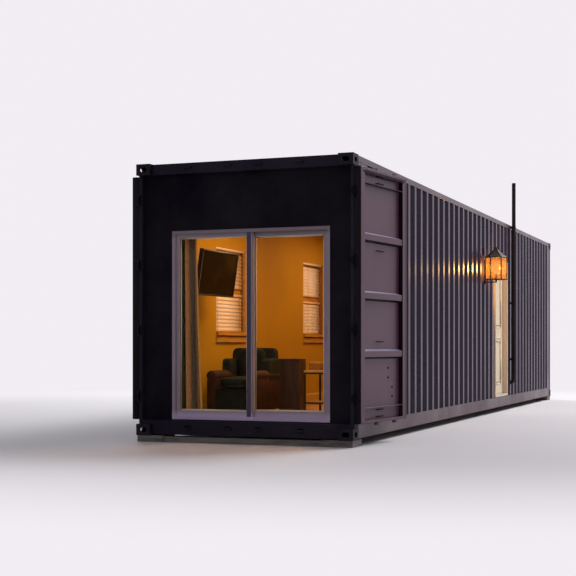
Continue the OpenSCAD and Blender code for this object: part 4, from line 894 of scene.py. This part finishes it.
scene.collection.objects.link(glow_lamp)


# Vent pipe: black plastic stack pipe in three lengths with solvent-welded couplings, strapped to
# an outer flat and turned into the wall low down.
pipe_paint = finish("pipe paint", paint, values={
    "Paint": (0.014, 0.007, 0.010), "Dustiness": 0.06, "Runs": 0.2, "Gloss": 0.42, "Glint": 0.06,
    "Peel": 60.0}, bump=0.15)
wear(["vent_pipe"], pipe_paint)
pipe_low, pipe_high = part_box("vent_pipe")
pipe_x, pipe_y = 1.267, (pipe_low[1] + pipe_high[1]) / 2
socket = np.array([[0.0295, -0.045], [0.0345, -0.044], [0.036, -0.038], [0.036, -0.003], [0.0345, 0.0],
                   [0.036, 0.003], [0.036, 0.038], [0.0345, 0.044], [0.0295, 0.045]])
couplings = [turned("coupling", socket, (pipe_x, pipe_y, z), (0, 0, 1)) for z in (1.45, 2.62)]
fit(joined("pipe_couplings", couplings), pipe_paint)
screw_edge = np.array([[0, 0.0035], [0.0035, 0.003], [0.0055, 0.001], [0.006, -0.001]])
screw = shape_of(turned("screw", screw_edge, (0, 0, 0), (1, 0, 0), 8))
strap_x, base_z, strap_half = 1.2195, 0.07, 0.017
strap_z = [base_z + z + strap_half for z in (0.72, (0.42 + 2.83) / 2, 2.842)]
fit(repeated("strap_screws", screw, [(strap_x, pipe_y + s * 0.028, z) for z in strap_z for s in (-1, 1)]), bronze)


# Television: a thin panel cased in moulded black plastic, with a glossy screen set in a narrow bezel,
# hung from the left wall on a jointed steel arm and tipped down.
plastic_black = finish("black plastic", vinyl, bump=0.12, values={
    "Plastic": (0.014, 0.014, 0.015), "Gloss": 0.42, "Grime": 0.05})
screen_glass = finish("screen glass", vinyl, bump=0.0, values={
    "Plastic": (0.006, 0.006, 0.007), "Gloss": 0.06, "Grime": 0.02})
wear(["television"], plastic_black)
tilt, turn = math.radians(9), math.radians(-3)
face_across = np.array([-math.sin(turn), math.cos(turn), 0])
face_out = np.array([math.cos(tilt) * math.cos(turn), math.cos(tilt) * math.sin(turn), -math.sin(tilt)])
face_up = np.cross(face_out, face_across)
face_centre = np.array([-room_x + 0.30, 1.134 + door_end, 1.853]) + 0.045 * face_out
bezel_half, screen_half = (0.448, 0.258), (0.434, 0.244)
bezel = np.array([[0.0, -0.002], [0.0, 0.002], [-0.003, 0.004], [-0.013, 0.004], [-0.015, 0.001], [-0.015, -0.002]])
bezel = framed("bezel", face_centre, face_across, face_up, bezel_half, bezel, corner=0.008, steps=4)
fit(joined("television_bezel", [bezel]), plastic_black)
u, v = np.meshgrid(np.linspace(-1, 1, 3), np.linspace(-1, 1, 3), indexing="ij")
glass = face_centre + screen_half[0] * u[..., None] * face_across + screen_half[1] * v[..., None] * face_up
layers = [surface("glass", glass + q * face_out) for q in (0.0005, 0.0015)]
fit(joined("television_screen", layers, smooth=False), screen_glass)


# Curtain rod: a bronze tube with ball finials on two brackets, fixed over the sliding door, and the
# six bronze rings that the curtain hangs from.
wear(["curtain_rod"], bronze)
rod_y, rod_z, ring_r = door_end + 0.297, 2.313, 0.0145
ring_angle = 2 * math.pi * np.arange(20) / 20
ring_out = np.stack([np.zeros(20), np.cos(ring_angle), np.sin(ring_angle)], -1)
tube = round_profile(0.002, 6)
ring_grid = (ring_r + tube[None, :, :1]) * ring_out[:, None] + tube[None, :, 1:] * np.array([1.0, 0, 0])
ring = shape_of(surface("ring", ring_grid, close_u=True, close_v=True))
curtain_low, curtain_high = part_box("curtain")
ring_x = np.linspace(curtain_low[0] + 0.02, curtain_high[0] - 0.02, 6)
rings = fit(repeated("curtain_rings", ring, [(x, rod_y, rod_z) for x in ring_x]), bronze)


# Curtain: one drawn-back width of striped cotton, olive with gold and taupe bands, in deep
# pleats that open a little towards the hem.
def woven_stripes():
    """Bands across the width of the cloth, from its own UV map in metres, with a plain weave over them."""
    tree, ins, give = group("woven stripes", Cut=0.5)
    flat = parts_of(tree, ins["Vector"])
    bands = node(tree, "ShaderNodeValToRGB", {0: math_node(tree, "DIVIDE", flat["X"], ins["Cut"])})
    ramp = bands.color_ramp
    ramp.interpolation = "CONSTANT"
    stops = ((0.0, (0.100, 0.078, 0.032)), (0.34, (0.56, 0.27, 0.090)), (0.60, (0.120, 0.078, 0.040)),
             (0.68, (0.18, 0.098, 0.050)), (0.85, (0.56, 0.30, 0.06)), (0.90, (0.100, 0.066, 0.028)))
    ramp.elements[0].color = (*stops[0][1], 1)
    ramp.elements.remove(ramp.elements[1])
    for start, colour in stops[1:]:
        ramp.elements.new(start).color = (*colour, 1)
    threads = [math_node(tree, "SINE", math_node(tree, "MULTIPLY", flat[axis], 900.0)) for axis in "XY"]
    weave = math_node(tree, "MULTIPLY", *threads)
    slub = spread(tree, noise(tree, ins["Vector"], 26.0, 4.0), 0.35, 0.7, 0, 0.25)
    return give(Colour=blend_colour(tree, slub, bands.outputs["Color"], (0.02, 0.018, 0.01)),
                Roughness=spread(tree, weave, -1, 1, 0.8, 0.95), Height=weave)


def with_uv(piece, uv):
    """Stores a UV pair for each point as the piece's UV map, in metres on the flat cloth."""
    layer = piece.data.uv_layers.new(name="cloth")
    loops = np.empty(len(piece.data.loops), np.int32)
    piece.data.loops.foreach_get("vertex_index", loops)
    layer.data.foreach_set("uv", uv.reshape(-1, 2)[loops].ravel())
    return piece


u, v = np.meshgrid(np.linspace(0, 1, 193), np.linspace(0, 1, 41), indexing="ij")
hang, hem = rod_z - 0.012, room_floor + 0.016
drop = hang - hem
width = 0.226 + 0.055 * v ** 1.6
deep = 0.024 + 0.016 * v + 0.004 * np.sin(5.3 * u + 3.0 * v)
fold = 2 * math.pi * (4.0 * u + 0.06 * v * np.sin(7 * u)) + 0.25 * v
cloth = np.stack([curtain_low[0] + 0.002 + width * u + 0.006 * np.sin(2 * fold) * (0.4 + v),
                  rod_y + deep * np.sin(fold), hang - drop * v + 0.004 * np.cos(fold) * v], -1)
arc = np.concatenate([[0], np.cumsum(np.linalg.norm(np.diff(cloth[:, 10], axis=0), axis=1))])
areas = np.linalg.norm(np.cross(cloth[1:, :-1] - cloth[:-1, :-1], cloth[:-1, 1:] - cloth[:-1, :-1]), axis=-1)
flat_width = float(areas.sum() / drop)
curtain = with_uv(surface("curtain_cloth", cloth), np.stack([np.broadcast_to(arc[:, None], u.shape), drop * v], -1))
solid = curtain.modifiers.new("thickness", "SOLIDIFY")
solid.thickness, solid.offset = 0.0016, 0.0
fit(curtain, finish("striped cotton", woven_stripes(), values={"Cut": flat_width}, uv="cloth", bump=0.25, depth=0.0006))
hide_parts("curtain")


# Armchair: a timber frame under foam and plush, green on the seat, wings and tall back and brown on
# the rolled arms, with two loose cushions, of which the seat's is piped along its seams.
def plush():
    """Short pile: a velvet mottle where the nap lies one way and the other, over a fine grain."""
    tree, ins, give = group("plush", Pile=(0.02, 0.035, 0.022), Nap=(0.05, 0.075, 0.05))
    nap = spread(tree, noise(tree, ins["Vector"], 9.0, 5.0, 0.6, 0.8), 0.35, 0.7)
    tips = noise(tree, ins["Vector"], 420.0, 3.0)
    return give(Colour=blend_colour(tree, nap, ins["Pile"], ins["Nap"]),
                Roughness=spread(tree, tips, 0.3, 0.7, 0.8, 1.0), Height=tips)


pile = plush()
green_plush = finish("green plush", pile, bump=0.5, depth=0.0012, Specular_IOR_Level=0.15, values={
    "Pile": (0.0105, 0.0145, 0.012), "Nap": (0.021, 0.028, 0.021)})


def boxed(value, boxy):
    """A sine or cosine raised to a low power with its sign kept, which squares the round form."""
    return np.sign(value) * np.abs(value) ** boxy


def stuffed(name, low, high, boxy=0.28, puff=0.0):
    """A stuffed block: a superellipsoid whose low powers keep it boxy, with each face crowned by puff."""
    low, high = np.array(low, float), np.array(high, float)
    centre, half = (low + high) / 2, (high - low) / 2
    a, b = np.meshgrid(np.linspace(-math.pi, math.pi, 64, endpoint=False), np.linspace(-math.pi / 2, math.pi / 2, 33),
                       indexing="ij")
    ring = boxed(np.cos(b), boxy)
    unit = np.stack([ring * boxed(np.cos(a), boxy), ring * boxed(np.sin(a), boxy), boxed(np.sin(b), boxy)], -1)
    span = np.cos(unit * math.pi / 2)
    lift = np.stack([span[..., 1] * span[..., 2], span[..., 0] * span[..., 2], span[..., 0] * span[..., 1]], -1)
    shape = unit * (1 - puff / half + puff / half * lift)
    return tidy(surface(name, centre + half * shape, close_u=True))


def piped(name, low, high, height, boxy=0.3, puff=0.012, radius=0.005):
    """A cord of piping round a stuffed block: a tube along the level section of the same superellipsoid."""
    low, high = np.array(low, float), np.array(high, float)
    centre, half = (low + high) / 2, (high - low) / 2
    a = np.linspace(-math.pi, math.pi, 96, endpoint=False)
    level = (height - centre[2]) / half[2]
    belt = math.sqrt(1 - abs(level) ** (2 / boxy)) ** boxy
    flat = belt * np.stack([boxed(np.cos(a), boxy), boxed(np.sin(a), boxy)], -1)
    lift = np.cos(flat[:, ::-1] * math.pi / 2) * math.cos(level * math.pi / 2)
    ring = half[:2] * flat * (1 - puff / half[:2] * (1 - lift))
    outward = ring / np.linalg.norm(ring, axis=1, keepdims=True)
    tube = round_profile(radius, 6)
    grid = np.zeros((96, 6, 3))
    grid[..., :2] = centre[:2] + ring[:, None] + (tube[None, :, :1] + 0.004) * outward[:, None]
    grid[..., 2] = height + tube[None, :, 1]
    return surface(name, grid, close_u=True, close_v=True)


def plumped(piece, pressure=4.0, cap=0.008):
    """Inflates a closed pad as cloth for twenty frames, and lets no point move further than cap from its place."""
    remesh = piece.modifiers.new("even", "REMESH")
    remesh.mode, remesh.voxel_size, remesh.use_smooth_shade = "VOXEL", 0.007, True
    even = bpy.data.meshes.new_from_object(piece.evaluated_get(bpy.context.evaluated_depsgraph_get()))
    piece.modifiers.clear()
    piece.data = even
    start = points_of(even)
    cloth = piece.modifiers.new("cloth", "CLOTH")
    cloth.settings.use_pressure = True
    cloth.settings.uniform_pressure_force = pressure
    cloth.settings.effector_weights.gravity = 0
    cloth.point_cache.frame_start, cloth.point_cache.frame_end = 1, 20
    for frame_number in range(1, 21):
        scene.frame_set(frame_number)
    blown = bpy.data.meshes.new_from_object(piece.evaluated_get(bpy.context.evaluated_depsgraph_get()))
    piece.modifiers.clear()
    move = points_of(blown) - start
    move *= np.minimum(1, cap / np.maximum(np.linalg.norm(move, axis=1, keepdims=True), 1e-9))
    even.vertices.foreach_set("co", (start + move).ravel())
    even.update()
    scene.frame_set(1)
    smooth = piece.modifiers.new("smooth", "SUBSURF")
    smooth.levels = smooth.render_levels = 1
    return piece


chair_low, chair_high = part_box("armchair")
cx, cy, cz = (chair_low[0] + chair_high[0]) / 2, chair_low[1], room_floor
arm_out, arm_width, wing_z, back_z = 0.305, 0.115, 0.636, 0.762
body_parts = [stuffed("base", (cx - 0.296, cy + 0.022, cz + 0.042), (cx + 0.296, cy + 0.795, cz + 0.285), 0.12),
              stuffed("back", (cx - 0.284, cy + 0.70, cz + 0.05), (cx + 0.284, cy + 0.80, cz + back_z), 0.2)]
roll, roll_r, roll_z = -0.6 + 4.35 * np.linspace(0, 1, 24), 0.0575, 0.442
scroll = np.stack([roll_r + roll_r * np.cos(roll), roll_z + roll_r * np.sin(roll)], -1)
arm = np.concatenate([[[0.006, 0.04], [0.109, 0.04], [0.109, 0.38]], scroll, [[0.006, 0.38]]])
shrink = np.array([0.93, 0.975, 1.0, 1.0, 1.0, 0.975, 0.93])
sections = arm.mean(0) + (arm - arm.mean(0)) * shrink[:, None, None]
ends = np.array([0.0, 0.006, 0.02, 0.4, 0.77, 0.79, 0.796])
arm_parts = []
for s in (-1, 1):
    x0, x1 = sorted((cx + s * (arm_out - arm_width), cx + s * arm_out))
    arm_y = np.broadcast_to(cy + 0.002 + ends[:, None], sections.shape[:2])
    grid = np.stack([x0 + sections[..., 0], arm_y, cz + sections[..., 1]], -1)
    arm_parts.append(surface("arm", grid, close_v=True))
    body_parts.append(stuffed("wing", (x0 + 0.001, cy + 0.43, cz + 0.36), (x1 - 0.001, cy + 0.798, cz + wing_z), 0.3))
chair = fit(joined("armchair_frame", body_parts), green_plush)
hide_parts("armchair")
brown_plush = finish("brown plush", pile, bump=0.5, depth=0.0012, Specular_IOR_Level=0.2, values={
    "Pile": (0.038, 0.0165, 0.0085), "Nap": (0.078, 0.034, 0.015)})
arms = fit(joined("armchair_arms", arm_parts), brown_plush)
foot = np.array([[0, 0.046], [0.022, 0.046], [0.024, 0.03], [0.018, 0.006], [0.016, 0.0], [0, 0.0]])
feet = [turned("foot", foot, (cx + s * 0.235, cy + y, cz), (0, 0, 1), 16) for s in (-1, 1) for y in (0.08, 0.72)]
dark_timber = finish("dark stained timber", grain, (20, 20, 3), {
    "Light": (0.11, 0.052, 0.024), "Dark": (0.035, 0.016, 0.009), "Wear": 0.05})
fit(joined("armchair_feet", feet), dark_timber)
seat_box = ((cx - 0.180, cy + 0.016, cz + 0.288), (cx + 0.180, cy + 0.596, cz + 0.424))
rest_box = ((cx - 0.180, cy + 0.612, cz + 0.30), (cx + 0.180, cy + 0.704, cz + 0.764))
seat = plumped(fit(stuffed("seat_cushion", *seat_box, 0.3, 0.012), green_plush))
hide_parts("armchair_cushions")
rest = plumped(fit(stuffed("back_cushion", *rest_box, 0.3, 0.012), green_plush))
green_piping = finish("green piping", pile, bump=0.3, values={
    "Pile": (0.010, 0.012, 0.007), "Nap": (0.022, 0.024, 0.014)})
cords = [piped("cord", *seat_box, cz + z) for z in (0.40, 0.315)]
fit(joined("cushion_piping", cords), green_piping)


# Side tables: a steel-legged table with a timber top and low shelf, a two-drawer stand behind the
# armchair, and a small slatted crate on the table.
tx, ty, table_deep = 0.03, 1.8 + door_end, 0.56
warm_timber = finish("warm timber", grain, (3, 24, 24), {
    "Light": (0.70, 0.41, 0.022), "Dark": (0.42, 0.23, 0.015), "Wear": 0.05})
tops = [board("top", (tx, ty, cz + 0.473), (tx + 0.56, ty + table_deep, cz + 0.497), 0.004),
        board("shelf", (tx + 0.018, ty + 0.018, cz + 0.108), (tx + 0.542, ty + table_deep - 0.018, cz + 0.126))]
tabletops = fit(joined("table_boards", tops, smooth=False), warm_timber)
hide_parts("side_tables")
rows = (ty, ty + table_deep - 0.022)
legs = [board("leg", (x, y, cz), (x + 0.022, y + 0.022, cz + 0.474), 0.002) for x in (tx, tx + 0.538) for y in rows]
legs += [board("rail", (tx + 0.02, y, cz + z), (tx + 0.54, y + 0.022, cz + z + 0.02), 0.002)
         for y in rows for z in (0.106, 0.454)]
fit(joined("table_legs", legs, smooth=False), bronze)
sx, sy, stand_w, stand_d, stand_z = -0.49, 2.33 + door_end, 0.27, 0.24, 0.626
stand = [board("case", (sx + 0.004, sy, cz), (sx + stand_w - 0.004, sy + stand_d, cz + stand_z - 0.018)),
         board("lid", (sx, sy - 0.006, cz + stand_z - 0.018), (sx + stand_w, sy + stand_d, cz + stand_z), 0.005)]
stand += [board("drawer", (sx + 0.02, sy - 0.008, cz + z0), (sx + stand_w - 0.02, sy + 0.002, cz + z1))
          for z0, z1 in ((0.06, 0.325), (0.345, 0.595))]
fit(joined("drawer_stand", stand, smooth=False), finish("smoked timber", grain, (20, 20, 3), {
    "Light": (0.050, 0.025, 0.015), "Dark": (0.022, 0.010, 0.007), "Wear": 0.05}))
knob = np.array([[0, 0.022], [0.009, 0.021], [0.012, 0.016], [0.006, 0.007], [0.007, -0.001]])
knobs = [turned("knob", knob, (sx + stand_w / 2, sy - 0.008, cz + z), (0, -1, 0), 16) for z in (0.195, 0.47)]
fit(joined("drawer_knobs", knobs), bronze)
px, py, pz = tx + 0.02, ty + 0.14, cz + 0.497
crate_w, crate_d, crate_h = 0.15, 0.12, 0.108
crate = [board("floor", (px + 0.004, py + 0.004, pz), (px + crate_w - 0.004, py + crate_d - 0.004, pz + 0.006), 0.001)]
for x in (px, px + crate_w - 0.010):
    for y in (py, py + crate_d - 0.010):
        crate.append(board("post", (x, y, pz), (x + 0.010, y + 0.010, pz + crate_h), 0.001))
rim = []
for side, z, deep in ((crate, 0.012, 0.024), (crate, 0.046, 0.024), (rim, 0.084, 0.020)):
    for y in (py - 0.004, py + crate_d - 0.001):
        side.append(board("slat", (px - 0.004, y, pz + z), (px + crate_w + 0.004, y + 0.005, pz + z + deep), 0.001))
    for x in (px - 0.004, px + crate_w - 0.001):
        side.append(board("slat", (x, py, pz + z), (x + 0.005, py + crate_d, pz + z + deep), 0.001))
fit(joined("tabletop_crate", crate, smooth=False), finish("aged crate timber", grain, (3, 24, 24), {
    "Light": (0.30, 0.13, 0.018), "Dark": (0.13, 0.055, 0.010), "Wear": 0.1}))
fit(joined("crate_rim", rim, smooth=False), warm_timber)
